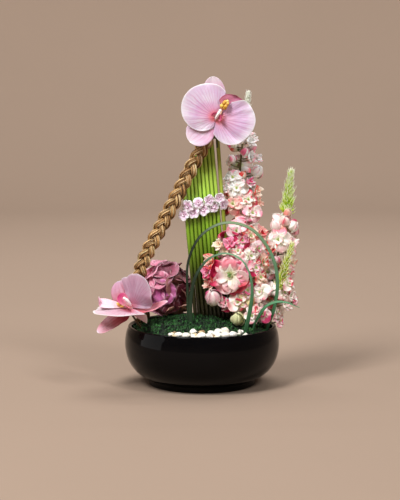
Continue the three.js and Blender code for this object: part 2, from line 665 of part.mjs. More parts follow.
function orchidPetals({ petals }) {
  const { rows, columns } = ORCHID_PETAL;
  const blades = petals.map((shape, i) => {
    const hand = i ? -1 : 1;
    return blade(petalSurface(shape, hand), rows, columns, 0.9 * hand);
  });
  return union([...blades, hub(4.6, -0.6, 1)]);
}

function orchidSepals({ sepals }) {
  const { along, across } = ORCHID_SEPAL;
  const blades = sepals.map((shape) => blade(sepalSurface(shape), along, across, 0.9));
  return union([...blades, hub(4.6, -3.8, -0.6 - GAP)]);
}

// The lip: its middle, two side lobes, and a callus where they meet.
function orchidLip({ lip, lobes, callus }) {
  const sides = lobes.map((shape) => blade(lobeSurface(shape), 3, 2, 0.9));
  const middle = blade(lipSurface(lip), 10, 2, 0.9);
  const knob = rod(vector(callus.from), vector(callus.to), callus.radius, 8, 0.85 * callus.radius);
  return union([...sides, middle, knob, hub(3.9, 1.9, 3)]);
}

function orchidColumn({ column }) {
  const girth = (u) => 1.9 + 0.7 * u;
  return sweep(smooth(column), 5, (u) => ring(8, girth(u), girth(u)), new THREE.Vector3(1, 0, 0));
}

function orchidStemCurve(orchid) {
  const matrix = orchidMatrix(orchid);
  const start = vector([0, 0, -4.15]).applyMatrix4(matrix);
  const back = vector([0, 0, -14]).applyMatrix4(matrix);
  return smooth([start.toArray(), back.toArray(), ...orchid.stem]);
}

const orchidStem = (flower, spare = 0) =>
  sweep(orchidStemCurve(flower), 8, () => ring(6, 1.5 + spare), new THREE.Vector3(1, 0, 0));

function orchid(flower) {
  const matrix = orchidMatrix(flower);
  add(`${flower.name}_sepals`, place(orchidSepals(flower), matrix), "orchid");
  add(`${flower.name}_petals`, place(orchidPetals(flower), matrix), "orchid");
  add(`${flower.name}_lip`, place(orchidLip(flower), matrix), "lip");
  add(`${flower.name}_column`, place(orchidColumn(flower), matrix), "column");
  add(`${flower.name}_stem`, orchidStem(flower), "stalk");
}

// ---- grass ----
// A value read from a short list of stations, evenly spaced from 0 to 1.
function station(values, u) {
  const t = u * (values.length - 1);
  const i = Math.min(Math.floor(t), values.length - 2);
  return values[i] + (values[i + 1] - values[i]) * (t - i);
}

// A long blade: flat is the turn of its width out of the loop's own plane, in radians.
function grassBlade({ route, steps, wide, flat }, spare = 0) {
  return sweep(smooth(route), steps, (u) => {
    const [half, turn] = [station(wide, u) + spare, station(flat, u)];
    const thick = 0.55 + spare;
    return [[half + spare, 0], [0, thick], [-half - spare, 0], [0, -thick]].map(([a, b]) => [
      a * Math.cos(turn) - b * Math.sin(turn), a * Math.sin(turn) + b * Math.cos(turn)]);
  });
}

// ---- spikes of florets ----
function stemFrame(curve, u, turn) {
  const along = curve.getTangent(u);
  const side = new THREE.Vector3(Math.cos(turn), Math.sin(turn), 0);
  side.addScaledVector(along, -side.dot(along)).normalize();
  return { at: curve.getPoint(u), along, side };
}

const mix = ([low, high], share) => low + (high - low) * share;

// One floret or bud on its stalk, or nothing if it can't stand clear of the pieces already made.
function onStalk(owner, curve, u, turn, reach, rise, build) {
  for (const swing of [0, 0.35, -0.35, 0.7, -0.7]) {
    const { at, along, side } = stemFrame(curve, u, turn + swing);
    const direction = side.clone().addScaledVector(along, rise);
    const centre = at.clone().addScaledVector(direction, reach);
    const piece = place(build(reach * direction.length()), facing(centre, direction, turn));
    if (isClear(piece, owner)) return [piece];
  }
  return [];
}

function rosette({ at, from, whorls }) {
  const middle = vector(at);
  const direction = middle.clone().sub(vector(from)).add(new THREE.Vector3(0, 0, 2)).normalize();
  const depth = middle.distanceTo(vector(from));
  const petals = whorls.map(([lobes, radius, lift], i) => {
    const shape = { lobes, radius, cup: 0.12 + 0.22 * i, notch: 0.45, stalk: i ? 3.4 : depth };
    const seat = middle.clone().addScaledVector(direction, lift);
    return place(lobedBlade(shape), facing(seat, direction, 0.6 * i));
  });
  return union(petals);
}

const spikeStem = ({ stem, radius }, spare = 0) =>
  sweep(smooth(stem), 8, (u) => ring(5, radius * (1 - 0.4 * u) + spare));

// The room that a spike's stem and its green tip take, kept free by the other spikes.
const rooms = new Map();
function spikeRoom({ name, stem, radius, tip }) {
  if (!rooms.has(name)) {
    const narrowing = (u) => 1 - (0.7 * (u - tip.from)) / (1 - tip.from);
    const size = (u) => (tip && u > tip.from - 0.02 ? 0.8 + 1.1 * tip.reach * narrowing(u) : radius);
    rooms.set(name, sweep(smooth(stem), 14, (u) => ring(6, size(u) + 0.4)));
  }
  return rooms.get(name);
}

function spike({ name, stem, radius, tip, buds, florets, rosette: rose }) {
  const curve = smooth(stem);
  const top = tip ? tip.from - 0.004 : 1;
  const pieces = [spikeStem({ stem, radius })];
  if (rose) pieces.push(rosette(rose));
  for (let k = 0; k < florets.count; k++) {
    const share = (k + 0.5) / florets.count;
    const u = mix([florets.from, florets.to], share);
    const size = mix(florets.size, share);
    pieces.push(...onStalk(name, curve, u, k * GOLDEN + 1, mix(florets.reach, share), 0.12,
      (stalk) => lobedBlade({ lobes: 5, radius: size, cup: 0.26, notch: 0.52, stalk })));
  }
  for (let k = 0; k < buds.count; k++) {
    const share = (k + 0.5) / buds.count;
    const u = mix([buds.from, buds.to], share);
    pieces.push(...onStalk(name, curve, u, k * GOLDEN + 2, mix(buds.reach, share), 0.45,
      (stalk) => budOnStalk(mix(buds.size, share), stalk)));
  }
  const flowers = union(pieces);
  if (!tip) return add(name, flowers, "spike");
  // The green tip is cut from the same stem, so that its bracts have a node and a colour of their own.
  const along = curve.getTangent(tip.from);
  const cut = curve.getPoint(tip.from);
  add(name, flowers.trimByPlane(along.clone().negate().toArray(), -along.dot(cut) + GAP / 2), "spike");
  const girth = (u) => (u < tip.from ? 1.4 : 1.1 + ((tip.core - 1.1) * (1 - u)) / (1 - tip.from));
  const core = sweep(curve, 10, (u) => ring(5, girth(u)));
  const bracts = [core.trimByPlane(along.toArray(), along.dot(cut) + GAP / 2)];
  for (let k = 0; k < tip.count; k++) {
    const share = (k + 0.5) / tip.count;
    const u = mix([tip.from + 0.01, 0.992], share);
    const { at, along: up, side } = stemFrame(curve, u, k * GOLDEN);
    const reach = tip.reach * (1 - 0.62 * share);
    const end = at.clone().addScaledVector(side, reach).addScaledVector(up, reach * 1.1);
    bracts.push(rod(at, end, 2 - share, 3, 0.4));
  }
  const green = union(bracts).trimByPlane(along.toArray(), along.dot(cut) + GAP / 2);
  return add(`${name}_tip`, green, "tip");
}

// ---- hydrangea ----
function hydrangea() {
  const { centre, core, reach, tall, count, radius, stem } = HYDRANGEA;
  const middle = vector(centre);
  const stretch = new THREE.Vector3(1, 1, tall);
  const ball = fromGeometry(new THREE.IcosahedronGeometry(core, 1));
  const pieces = [ball.scale(stretch.toArray()).translate(centre), rod(vector(stem), middle, 2.4, 6)];
  for (let k = 0; k < count; k++) {
    const z = 1 - (1.85 * (k + 0.5)) / count;
    const flat = Math.sqrt(1 - z * z);
    const direction = new THREE.Vector3(flat * Math.cos(k * GOLDEN), flat * Math.sin(k * GOLDEN), z);
    const at = middle.clone().add(direction.clone().multiply(stretch).multiplyScalar(reach));
    const size = radius * (0.92 + 0.2 * draw(k, 7));
    const floret = lobedBlade({ lobes: 4, radius: size, cup: 0.1, notch: 0.5, stalk: reach - 0.8 * core });
    const piece = place(floret, facing(at, direction, k));
    if (isClear(piece)) pieces.push(piece);
  }
  return union(pieces);
}

// ---- assembly ----
// Plain holes in the foam and the moss for everything that stands in them.
function stemHoles() {
  const spare = GAP + 0.15;
  const deeper = (route) => route.map(([x, y, z]) => [x, y, z < FOAM.top ? z - 2 * GAP : z]);
  const blades = GRASS.map((leaf) => grassBlade({ ...leaf, route: deeper(leaf.route) }, spare));
  const stems = SPIKES.map((flower) => spikeStem({ ...flower, stem: deeper(flower.stem) }, spare));
  const low = ORCHIDS[1];
  const stalk = orchidStem({ ...low, stem: deeper(low.stem) }, spare);
  const head = rod(vector(deeper([HYDRANGEA.stem])[0]), vector(HYDRANGEA.centre), 2.4 + spare, 6);
  return union([reedSlot(), ...blades, ...stems, stalk, head]);
}

// The hole in the moss that the plait's end is tucked into, down to the foam.
function plaitHole() {
  const { wide, half, deep, thick } = PLAIT;
  const line = new THREE.LineCurve3(vector(PLAIT_ROUTE.at(-2)), vector([-82, 9, FOAM.top - 8]));
  return sweep(line, 1, () => ring(8, wide + half + 3.4, deep + thick + 2.4));
}

const holes = stemHoles();
add("bowl", bowl(), "glaze");
add("foam_block", foam().subtract(holes), "foam");
add("moss_mat", moss().subtract(holes).subtract(plaitHole()), "moss");
add("pebbles", pebbles(), "pebble");
reeds();
[0, 1, 2].forEach((k) => add(`plait_strand_${k + 1}`, plaitStrand(k), "straw"));
add("tie_band", tie(), "tape");
add("garland", garland(), "floret");
ORCHIDS.forEach(orchid);
GRASS.forEach((leaf) => add(leaf.name, grassBlade(leaf), "grass"));
SPIKES.forEach(spike);
add("hydrangea", hydrangea(), "hydrangea");

export default group;
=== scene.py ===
import math

import bpy
import numpy as np
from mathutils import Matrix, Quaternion, Vector


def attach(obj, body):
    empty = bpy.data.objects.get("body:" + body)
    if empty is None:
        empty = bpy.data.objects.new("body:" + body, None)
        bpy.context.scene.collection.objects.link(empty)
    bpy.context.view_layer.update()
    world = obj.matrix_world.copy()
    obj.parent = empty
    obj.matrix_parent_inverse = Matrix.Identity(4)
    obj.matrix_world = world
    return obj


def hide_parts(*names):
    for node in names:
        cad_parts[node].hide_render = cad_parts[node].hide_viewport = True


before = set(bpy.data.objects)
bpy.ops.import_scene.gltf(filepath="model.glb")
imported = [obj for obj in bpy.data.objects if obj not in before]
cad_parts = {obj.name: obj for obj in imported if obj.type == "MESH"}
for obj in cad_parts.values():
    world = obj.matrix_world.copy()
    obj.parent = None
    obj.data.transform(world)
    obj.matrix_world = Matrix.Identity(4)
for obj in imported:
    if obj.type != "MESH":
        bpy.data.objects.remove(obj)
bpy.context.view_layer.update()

MM = 0.001
GOLDEN = math.radians(137.508)
UP = Vector((0, 0, 1))
FORWARD = (0, -1, 0)


# ---- numbers and colours ----
def draw(n, series=0):
    """A repeatable share from 0 to 1 for the n-th draw of a series."""
    x = math.sin(12.9898 * n + 78.233 * series) * 43758.5453
    return x - math.floor(x)


def mix(low, high, share):
    return low + (high - low) * share


def rgb(red, green, blue):
    """A colour given as it shows on a screen, made linear."""
    shown = np.array([red, green, blue]) / 255
    return np.where(shown <= 0.04045, shown / 12.92, ((shown + 0.055) / 1.055) ** 2.4)


def unit(vectors):
    vectors = np.asarray(vectors, float)
    return vectors / np.maximum(np.linalg.norm(vectors, axis=-1, keepdims=True), 1e-9)


def pick(choices, n, series):
    """One of the choices, by the n-th draw of a series."""
    return choices[int(draw(n, series) * len(choices)) % len(choices)]


def stops(*rows):
    """Colour stops from rows of place, red, green, blue."""
    return [(place, rgb(*shown)) for place, *shown in rows]


def blend_stops(shades, share):
    """Colours read from stops at an array of shares."""
    places = [place for place, _ in shades]
    colours = np.array([colour for _, colour in shades])
    return np.stack([np.interp(share, places, colours[:, i]) for i in range(3)], axis=-1)


def plain(colour):
    """One colour, for Form.tinted."""
    return lambda along, across: np.broadcast_to(colour, (len(along), 3))


def graded(shades):
    """A colour that changes along the piece, for Form.tinted."""
    return lambda along, across: blend_stops(shades, along)


def ease(value):
    value = np.clip(value, 0, 1)
    return value * value * (3 - 2 * value)


# ---- curves ----
class Curve:
    """A centripetal curve through points."""

    def __init__(self, points):
        points = np.array(points, float)
        first = 2 * points[0] - points[1]
        last = 2 * points[-1] - points[-2]
        self.points = np.vstack([first, points, last])
        self.spans = len(points) - 1
        shares = np.linspace(0, 1, 401)
        steps = np.linalg.norm(np.diff(self.at(shares), axis=0), axis=1)
        self.lengths = np.concatenate([[0], np.cumsum(steps)])
        self.length = self.lengths[-1]
        self.shares = shares

    def at(self, share):
        place = np.clip(np.atleast_1d(np.asarray(share, float)), 0, 1) * self.spans
        span = np.minimum(place.astype(int), self.spans - 1)
        t = (place - span)[:, None]
        a, b, c, d = (self.points[span + k] for k in range(4))
        ab, bc, cd = (np.sqrt(np.linalg.norm(q - p, axis=1))[:, None] for p, q in ((a, b), (b, c), (c, d)))
        start = ((b - a) / ab - (c - a) / (ab + bc) + (c - b) / bc) * bc
        end = ((c - b) / bc - (d - b) / (bc + cd) + (d - c) / cd) * bc
        return b + start * t + (3 * (c - b) - 2 * start - end) * t**2 + (2 * (b - c) + start + end) * t**3

    def even(self, share):
        """Points at shares of the curve's length."""
        return self.at(np.interp(np.atleast_1d(share) * self.length, self.lengths, self.shares))

    def along(self, share):
        share = np.atleast_1d(np.asarray(share, float))
        return unit(self.at(share + 1e-4) - self.at(share - 1e-4))


def frames(points, reference=FORWARD):
    """The side and outward directions along a line of points."""
    along = unit(np.gradient(points, axis=0))
    side = unit(np.cross(along, reference))
    return side, unit(np.cross(side, along))


# ---- forms ----
class Form:
    """Points, faces, and for each point its tint and its spot, which is (along, across, own number)."""

    def __init__(self, points, faces, tints, spots):
        self.points, self.faces, self.tints, self.spots = points, faces, tints, spots

    def moved(self, turn, at):
        points = self.points @ np.asarray(turn).T + np.asarray(at, float)
        return Form(points, self.faces, self.tints, self.spots)

    def flipped(self):
        return Form(self.points, [face[:, ::-1] for face in self.faces], self.tints, self.spots)

    def tinted(self, colour, number=0.0):
        """A copy coloured by colour(along, across), with a number of its own for the material."""
        spots = self.spots.copy()
        spots[:, 2] = number
        return Form(self.points, self.faces, colour(spots[:, 0], spots[:, 1]), spots)


def joined(forms):
    start, faces = 0, []
    for form in forms:
        faces += [face + start for face in form.faces]
        start += len(form.points)
    stack = [np.concatenate([getattr(form, part) for form in forms]) for part in ("points", "tints", "spots")]
    return Form(stack[0], faces, stack[1], stack[2])


def wrapped(points, spots, folded):
    """A closed form from rings of points. A folded ring runs over a leaf's face and back under it."""
    rows, columns = points.shape[:2]
    number = np.arange(rows * columns).reshape(rows, columns)
    following = np.roll(number, -1, axis=1)
    quads = np.stack([number[:-1], number[1:], following[1:], following[:-1]], axis=-1).reshape(-1, 4)
    faces = [quads]
    for row, turned in ((number[0], False), (number[-1], True)):
        if folded:
            half = columns // 2
            face, under = row[:half], row[half:][::-1]
            ends = np.stack([face[:-1], face[1:], under[1:], under[:-1]], axis=-1)
        else:
            ends = row[None, :]
        faces.append(ends[:, ::-1] if turned else ends)
    flat = points.reshape(-1, 3)
    return Form(flat, faces, np.ones((len(flat), 3)), spots.reshape(-1, 3))


def leaf(surface, along, across, thickness):
    """A thin leaf over surface(u, v), u from 0 to 1 and v from -1 to 1, thinner at its edges."""
    u, v = np.meshgrid(np.linspace(0, 1, along + 1), np.linspace(-1, 1, across + 1), indexing="ij")
    face = surface(u, v)
    margin, step = 0.004, 0.003
    near_u, near_v = np.clip(u, margin, 1 - margin), np.clip(v, margin - 1, 1 - margin)
    inner = surface(near_u, near_v)
    steep = surface(near_u + step, near_v) - inner
    wide = surface(near_u, near_v + step) - inner
    normal = unit(np.cross(steep, wide))
    half = 0.5 * thickness * (1 - 0.7 * np.maximum(np.abs(v), u) ** 8)[..., None]
    rings = np.concatenate([face + normal * half, (face - normal * half)[:, ::-1]], axis=1)
    spots = np.stack([u, v, 0 * u], axis=-1)
    return wrapped(rings, np.concatenate([spots, spots[:, ::-1]], axis=1), folded=True)


def swept(points, radii, sides=8, flat=1.0, reference=FORWARD):
    """A round or oval bar along points. flat is its depth over its width."""
    points = np.asarray(points, float)
    side, out = frames(points, reference)
    turn = 2 * math.pi * (np.arange(sides) + 0.5) / sides
    radii = np.broadcast_to(radii, len(points))[:, None, None]
    rings = points[:, None] + radii * (
        side[:, None] * np.cos(turn)[None, :, None] + out[:, None] * (flat * np.sin(turn))[None, :, None]
    )
    share, about = np.meshgrid(np.linspace(0, 1, len(points)), np.arange(sides) / sides, indexing="ij")
    return wrapped(rings, np.stack([share, about, 0 * share], axis=-1), folded=False)


def bar(start, end, radius, sides=6, tip=None, rows=3):
    share = np.linspace(0, 1, rows)
    points = mix(np.array(start, float), np.array(end, float), share[:, None])
    steep = abs(unit(points[-1] - points[0])[1]) > 0.8
    radii = mix(radius, radius if tip is None else tip, share)
    return swept(points, radii, sides, reference=UP if steep else FORWARD)


def ball(rows, columns, reach):
    """A closed ball. reach is its radius, or gives it from the turn and from the height, -1 to 1."""
    lifts = np.linspace(-0.5, 0.5, rows) * math.pi * 0.985
    turns = 2 * math.pi * np.arange(columns) / columns
    lift, turn = np.meshgrid(lifts, turns, indexing="ij")
    distance = reach(turn, np.sin(lift)) if callable(reach) else np.full_like(turn, reach)
    points = np.stack([np.cos(lift) * np.cos(turn), np.cos(lift) * np.sin(turn), np.sin(lift)], axis=-1)
    spots = np.stack([lift / math.pi + 0.5, turn / (2 * math.pi), 0 * lift], axis=-1)
    return wrapped(points * distance[..., None], spots, folded=False).flipped()


def facing(direction, turn=0.0):
    """The turn that points a form's +Z along a direction, after turning it about +Z."""
    swing = UP.rotation_difference(Vector(unit(direction)))
    return np.array((swing @ Quaternion(UP, turn)).to_matrix())


def spin(turn):
    """The turn about +Z by an angle."""
    return np.array([[math.cos(turn), -math.sin(turn), 0], [math.sin(turn), math.cos(turn), 0], [0, 0, 1]])


# ---- materials ----
class Look:
    """A material and short ways to add nodes to it. Constants go on the shader's own sockets."""

    def __init__(self, name, **constants):
        self.material = bpy.data.materials.new(name)
        self.material.use_nodes = True
        self.tree = self.material.node_tree
        self.shader = self.tree.nodes["Principled BSDF"]
        for socket, value in constants.items():
            self.shader.inputs[socket.replace("_", " ")].default_value = value

    def feed(self, socket, value):
        if isinstance(value, bpy.types.NodeSocket):
            self.tree.links.new(value, socket)
        elif value is not None:
            count = len(socket.default_value) if hasattr(socket.default_value, "__len__") else 0
            socket.default_value = (*value, 1.0)[:count] if count else value

    def node(self, kind, inputs, output=0, **settings):
        made = self.tree.nodes.new("ShaderNode" + kind)
        for key, value in settings.items():
            setattr(made, key, value)
        for key, value in inputs.items():
            self.feed(made.inputs[key], value)
        return made.outputs[output]

    def read(self, name):
        return self.node("Attribute", {}, output="Vector" if name == "spot" else "Color", attribute_name=name)

    def split(self, vector):
        made = self.tree.nodes.new("ShaderNodeSeparateXYZ")
        self.feed(made.inputs[0], vector)
        return made.outputs

    def place(self, stretch=(1, 1, 1)):
        made = self.tree.nodes.new("ShaderNodeTexCoord")
        return self.node("Mapping", {"Vector": made.outputs["Object"], "Scale": stretch})

    def noise(self, scale, vector=None, detail=3.0, rough=0.55):
        inputs = {"Vector": vector or self.place(), "Scale": scale, "Detail": detail, "Roughness": rough}
        return self.node("TexNoise", inputs)

    def maths(self, operation, a, b=0.0):
        return self.node("Math", {0: a, 1: b}, operation=operation)

    def times(self, a, b):
        return self.maths("MULTIPLY", a, b)

    def plus(self, a, b):
        return self.maths("ADD", a, b)

    def span(self, value, low, high, to_low, to_high):
        return self.node("MapRange", {0: value, 1: low, 2: high, 3: to_low, 4: to_high})

    def mixed(self, share, a, b, how="MIX"):
        return self.node("Mix", {0: share, 6: a, 7: b}, output=2, data_type="RGBA", blend_type=how)

    def shaded(self, colour, share):
        """A colour made darker by a share."""
        return self.mixed(1.0, colour, self.node("CombineColor", {0: share, 1: share, 2: share}), "MULTIPLY")

    def ramp(self, share, shades):
        made = self.tree.nodes.new("ShaderNodeValToRGB")
        elements = made.color_ramp.elements
        while len(elements) < len(shades):
            elements.new(0.5)
        for element, (place, colour) in zip(elements, shades):
            element.position = place
            element.color = (*colour, 1.0)
        self.feed(made.inputs[0], share)
        return made.outputs[0]

    def colour(self, value):
        self.feed(self.shader.inputs["Base Color"], value)
        return self

    def rough(self, value):
        self.feed(self.shader.inputs["Roughness"], value)
        return self

    def bump(self, height, strength, distance):
        made = self.node("Bump", {"Height": height, "Strength": strength, "Distance": distance})
        self.feed(self.shader.inputs["Normal"], made)
        return self


def glaze_look():
    look = Look("glaze", IOR=1.5, Specular_IOR_Level=0.13)
    look.colour(look.mixed(look.noise(30), rgb(4, 4, 5), rgb(9, 9, 11)))
    look.rough(look.span(look.noise(90), 0.3, 0.7, 0.02, 0.06))
    return look.bump(look.noise(45, detail=1.0), 0.04, 0.001).material


def tinted_look(name, shade, scale, bump, roughness, tint=None, **constants):
    """One colour, or else each point's own, darkened a little in patches, with a fine grain."""
    look = Look(name, Roughness=roughness, **constants)
    patches = look.span(look.noise(scale), 0.3, 0.7, shade, 1.0)
    look.colour(look.shaded(look.read("tint") if tint is None else tint, patches))
    return look.bump(look.noise(scale * 4), bump, 0.0004).material


def stone_look():
    look = Look("stone", IOR=1.5)
    flecks = look.span(look.noise(700, detail=5.0), 0.35, 0.75, 0.0, 0.5)
    look.colour(look.mixed(flecks, look.read("tint"), rgb(150, 130, 104)))
    look.rough(look.span(look.noise(250), 0.3, 0.7, 0.28, 0.5))
    return look.bump(look.noise(420), 0.25, 0.0005).material


def streaked_look(name, stretch, scale, shade, bump, roughness, **constants):
    """Colour from each point, streaked along the piece's length."""
    look = Look(name, **constants)
    streaks = look.noise(scale, look.place(stretch), 4.0, 0.6)
    dark = look.span(streaks, 0.3, 0.7, shade, 1.08)
    look.colour(look.shaded(look.read("tint"), dark))
    look.rough(look.span(streaks, 0.3, 0.7, roughness - 0.1, roughness + 0.1))
    return look.bump(streaks, bump, 0.0006).material


def veined_look(name, shades, vein, amount, lines, white, **constants):
    """A petal coloured from its base to its edge, with veins that fan out and fork, and fine crumples.

    amount is the veins' strength, lines how many a side has, and white how far it pales in patches.
    """
    look = Look(name, Roughness=0.55, **constants)
    along, across, own = look.split(look.read("spot"))
    wander = look.times(look.maths("SUBTRACT", look.noise(55), 0.5), 2.6)
    fan = look.plus(look.times(across, lines), look.plus(wander, own))
    wide = look.maths("POWER", look.maths("ABSOLUTE", look.maths("SINE", fan)), 8.0)
    fork = look.plus(look.times(across, lines * 2.2), look.times(wander, 1.6))
    fine = look.maths("POWER", look.maths("ABSOLUTE", look.maths("SINE", fork)), 4.0)
    reach = look.span(along, 0.3, 0.75, 0.0, 1.0)
    veins = look.plus(look.times(wide, look.span(along, 0.05, 0.95, 1.0, 0.25)),
                      look.times(fine, look.times(reach, 0.4)))
    fade = look.times(veins, look.span(along, 0.75, 1.0, amount, amount * 0.15))
    base = look.ramp(look.plus(along, look.times(wander, 0.025)), shades)
    patches = look.span(look.noise(34), 0.42, 0.7, 0.0, white)
    patches = look.times(patches, look.span(along, 0.25, 0.5, 0.0, 1.0))
    pale = look.mixed(patches, base, rgb(240, 230, 244))
    look.colour(look.mixed(1.0, look.mixed(fade, pale, vein), look.read("tint"), "MULTIPLY"))
    crumple = look.plus(look.times(veins, 0.5), look.noise(330, detail=4.0))
    return look.bump(crumple, 0.35, 0.0006).material


PETAL_GLOW = {"Subsurface_Weight": 0.12, "Subsurface_Scale": 0.004, "Subsurface_Radius": (1.0, 0.5, 0.5)}
LOOKS = {
    "glaze": glaze_look(),
    "moss": tinted_look("moss", 0.45, 260, 0.3, 0.7),
    "stone": stone_look(),
    "reed": streaked_look("reed", (1, 1, 0.03), 900, 0.72, 0.15, 0.28),
    "straw": tinted_look("straw", 0.6, 500, 0.4, 0.6),
    "foam": tinted_look("foam", 0.7, 500, 0.2, 0.7, rgb(30, 56, 34)),
    "tape": tinted_look("tape", 0.7, 500, 0.2, 0.7, rgb(70, 92, 48)),
    "stalk": tinted_look("stalk", 0.65, 350, 0.2, 0.5),
    "grass": streaked_look("grass", (1, 1, 0.06), 1400, 0.75, 0.2, 0.55),
    "bract": tinted_look("bract", 0.75, 500, 0.2, 0.5),
    "floret": tinted_look("floret", 0.86, 330, 0.25, 0.5, **PETAL_GLOW),
    "hydrangea": tinted_look("hydrangea", 0.72, 300, 0.3, 0.55, **PETAL_GLOW),
    "orchid_petal": veined_look(
        "orchid_petal",
        stops((0.0, 214, 66, 70), (0.12, 232, 124, 132), (0.25, 226, 166, 200), (0.6, 218, 182, 222),
              (0.94, 224, 196, 228), (1.0, 250, 240, 250)),
        rgb(190, 84, 156), 0.6, 34.0, 0.85, **PETAL_GLOW),
    "orchid_sepal": veined_look(
        "orchid_sepal",
        stops((0.0, 206, 84, 116), (0.25, 222, 156, 190), (0.6, 228, 190, 218), (0.92, 240, 214, 230),
              (1.0, 255, 244, 250)),
        rgb(198, 104, 152), 0.35, 9.0, 0.8, **PETAL_GLOW),
    "orchid_petal_low": veined_look(
        "orchid_petal_low",
        stops((0.0, 206, 70, 90), (0.12, 214, 116, 140), (0.3, 214, 160, 186), (0.65, 224, 182, 206),
              (0.93, 234, 196, 216), (1.0, 255, 244, 250)),
        rgb(182, 84, 134), 0.5, 26.0, 0.6, **PETAL_GLOW),
    # The low orchid's sepals: their deep salmon-reds are partly their own colour and partly painted shade on
    # their undersides.
    "orchid_sepal_low": veined_look(
        "orchid_sepal_low",
        stops((0.0, 190, 70, 84), (0.3, 200, 100, 112), (0.65, 206, 128, 142), (0.92, 226, 172, 190),
              (1.0, 250, 232, 240)),
        rgb(180, 80, 104), 0.5, 9.0, 0.4, **PETAL_GLOW),
    "lip": tinted_look("lip", 0.8, 420, 0.3, 0.45, **PETAL_GLOW),
    "column": tinted_look("column", 0.92, 400, 0.1, 0.35, **PETAL_GLOW),
}


def piece(name, form, look, nodes):
    """A mesh object that rides on the root and stands for CAD nodes."""
    mesh = bpy.data.meshes.new(name)
    faces = [face for block in form.faces for face in block.tolist()]
    mesh.from_pydata((form.points * MM).tolist(), [], faces)
    tints = np.concatenate([np.clip(form.tints, 0, 1), np.ones((len(form.points), 1))], axis=1)
    mesh.attributes.new("tint", "FLOAT_COLOR", "POINT").data.foreach_set("color", tints.ravel())
    mesh.attributes.new("spot", "FLOAT_VECTOR", "POINT").data.foreach_set("vector", form.spots.ravel())
    mesh.polygons.foreach_set("use_smooth", [True] * len(faces))
    mesh.materials.append(LOOKS[look])
    mesh.update()
    made = bpy.data.objects.new(name, mesh)
    bpy.context.scene.collection.objects.link(made)
    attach(made, "root")
    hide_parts(*nodes)


# ---- bowl ----
BOWL = {
    "foot": 78, "belly": 112.5, "belly_height": 56, "height": 86.5,
    "rim": 108, "rim_foot": 84, "inside": 102,
}


def bowl():
    """The bowl, turned round its outline."""
    foot, rim, low, top, inside = (BOWL[key] for key in ("foot", "rim", "rim_foot", "height", "inside"))
    base = [[0, 0, 0], [40, 0, 0], [foot - 2, 0, 0], [foot - 0.6, 0, 0.6], [foot, 0, 2], [foot, 0, 6.6],
            [foot + 0.6, 0, 8]]
    outer = Curve([[80, 0, 9], [96, 0, 19], [107, 0, 34], [BOWL["belly"], 0, BOWL["belly_height"]],
                   [111, 0, 75], [rim, 0, low]])
    lip = Curve([[rim, 0, low], [rim - 0.6, 0, top - 0.7], [rim - 2.4, 0, top], [rim - 4.4, 0, top - 0.5],
                 [inside, 0, low]])
    inner = Curve([[inside, 0, low], [105.5, 0, 66], [103, 0, 46], [92, 0, 27], [70, 0, 14.5],
                   [45, 0, 10.5]])
    profile = np.vstack([base, outer.at(np.linspace(0, 1, 40)), lip.at(np.linspace(0, 1, 12))[1:-1],
                         inner.at(np.linspace(0, 1, 20)), [[0, 0, 10]]])
    turn = 2 * math.pi * np.arange(160) / 160
    reach = np.maximum(profile[:, 0], 0.02)[:, None]
    heights = np.repeat(profile[:, 2:], len(turn), axis=1)
    rings = np.stack([reach * np.cos(turn), reach * np.sin(turn), heights], -1)
    form = wrapped(rings, np.zeros_like(rings), folded=False).flipped()
    piece("bowl_glazed", form, "glaze", ["bowl"])


# ---- moss and pebbles ----
MOSS = {
    "radius": 100, "edge": 80, "level": 84, "mound": 15, "x": -12, "y": -8, "spread_x": 50, "spread_y": 42,
    "bottom": 73.5, "shreds": 3600,
}
# Each row of pebbles: its radius, the angle it starts at and its count.
PEBBLE = {"size": 6.6, "pitch": 11.2, "rows": ((90, -112, 8), (79, -98, 5)), "loose": 26}
STONES = [rgb(240, 236, 224), rgb(250, 248, 242), rgb(214, 194, 150), rgb(246, 242, 232), rgb(150, 118, 82),
          rgb(236, 226, 200)]


def moss_height(x, y):
    """The top of the moss: level, with a mound by the reeds, and falling towards the bowl's rim."""
    away = ((x - MOSS["x"]) / MOSS["spread_x"]) ** 2 + ((y - MOSS["y"]) / MOSS["spread_y"]) ** 2
    hump = MOSS["mound"] * np.exp(-away / 2)
    fall = np.maximum(0, np.hypot(x, y) / MOSS["radius"] - 0.78) / 0.22
    return MOSS["level"] + hump - (MOSS["level"] - MOSS["edge"] + hump * 0.6) * fall**2


def pebble_places():
    """Where the larger pebbles lie, and their sizes."""
    for row, (radius, start, count) in enumerate(PEBBLE["rows"]):
        for i in range(count):
            turn = math.radians(start) + i * PEBBLE["pitch"] / radius
            size = PEBBLE["size"] * (0.92 + 0.2 * draw(i, row + 1))
            x, y = radius * math.cos(turn), radius * math.sin(turn)
            yield x, y, moss_height(x, y) + size * 0.72 + 0.7 + (0.6 if row else 0), size, draw(i, row + 3)


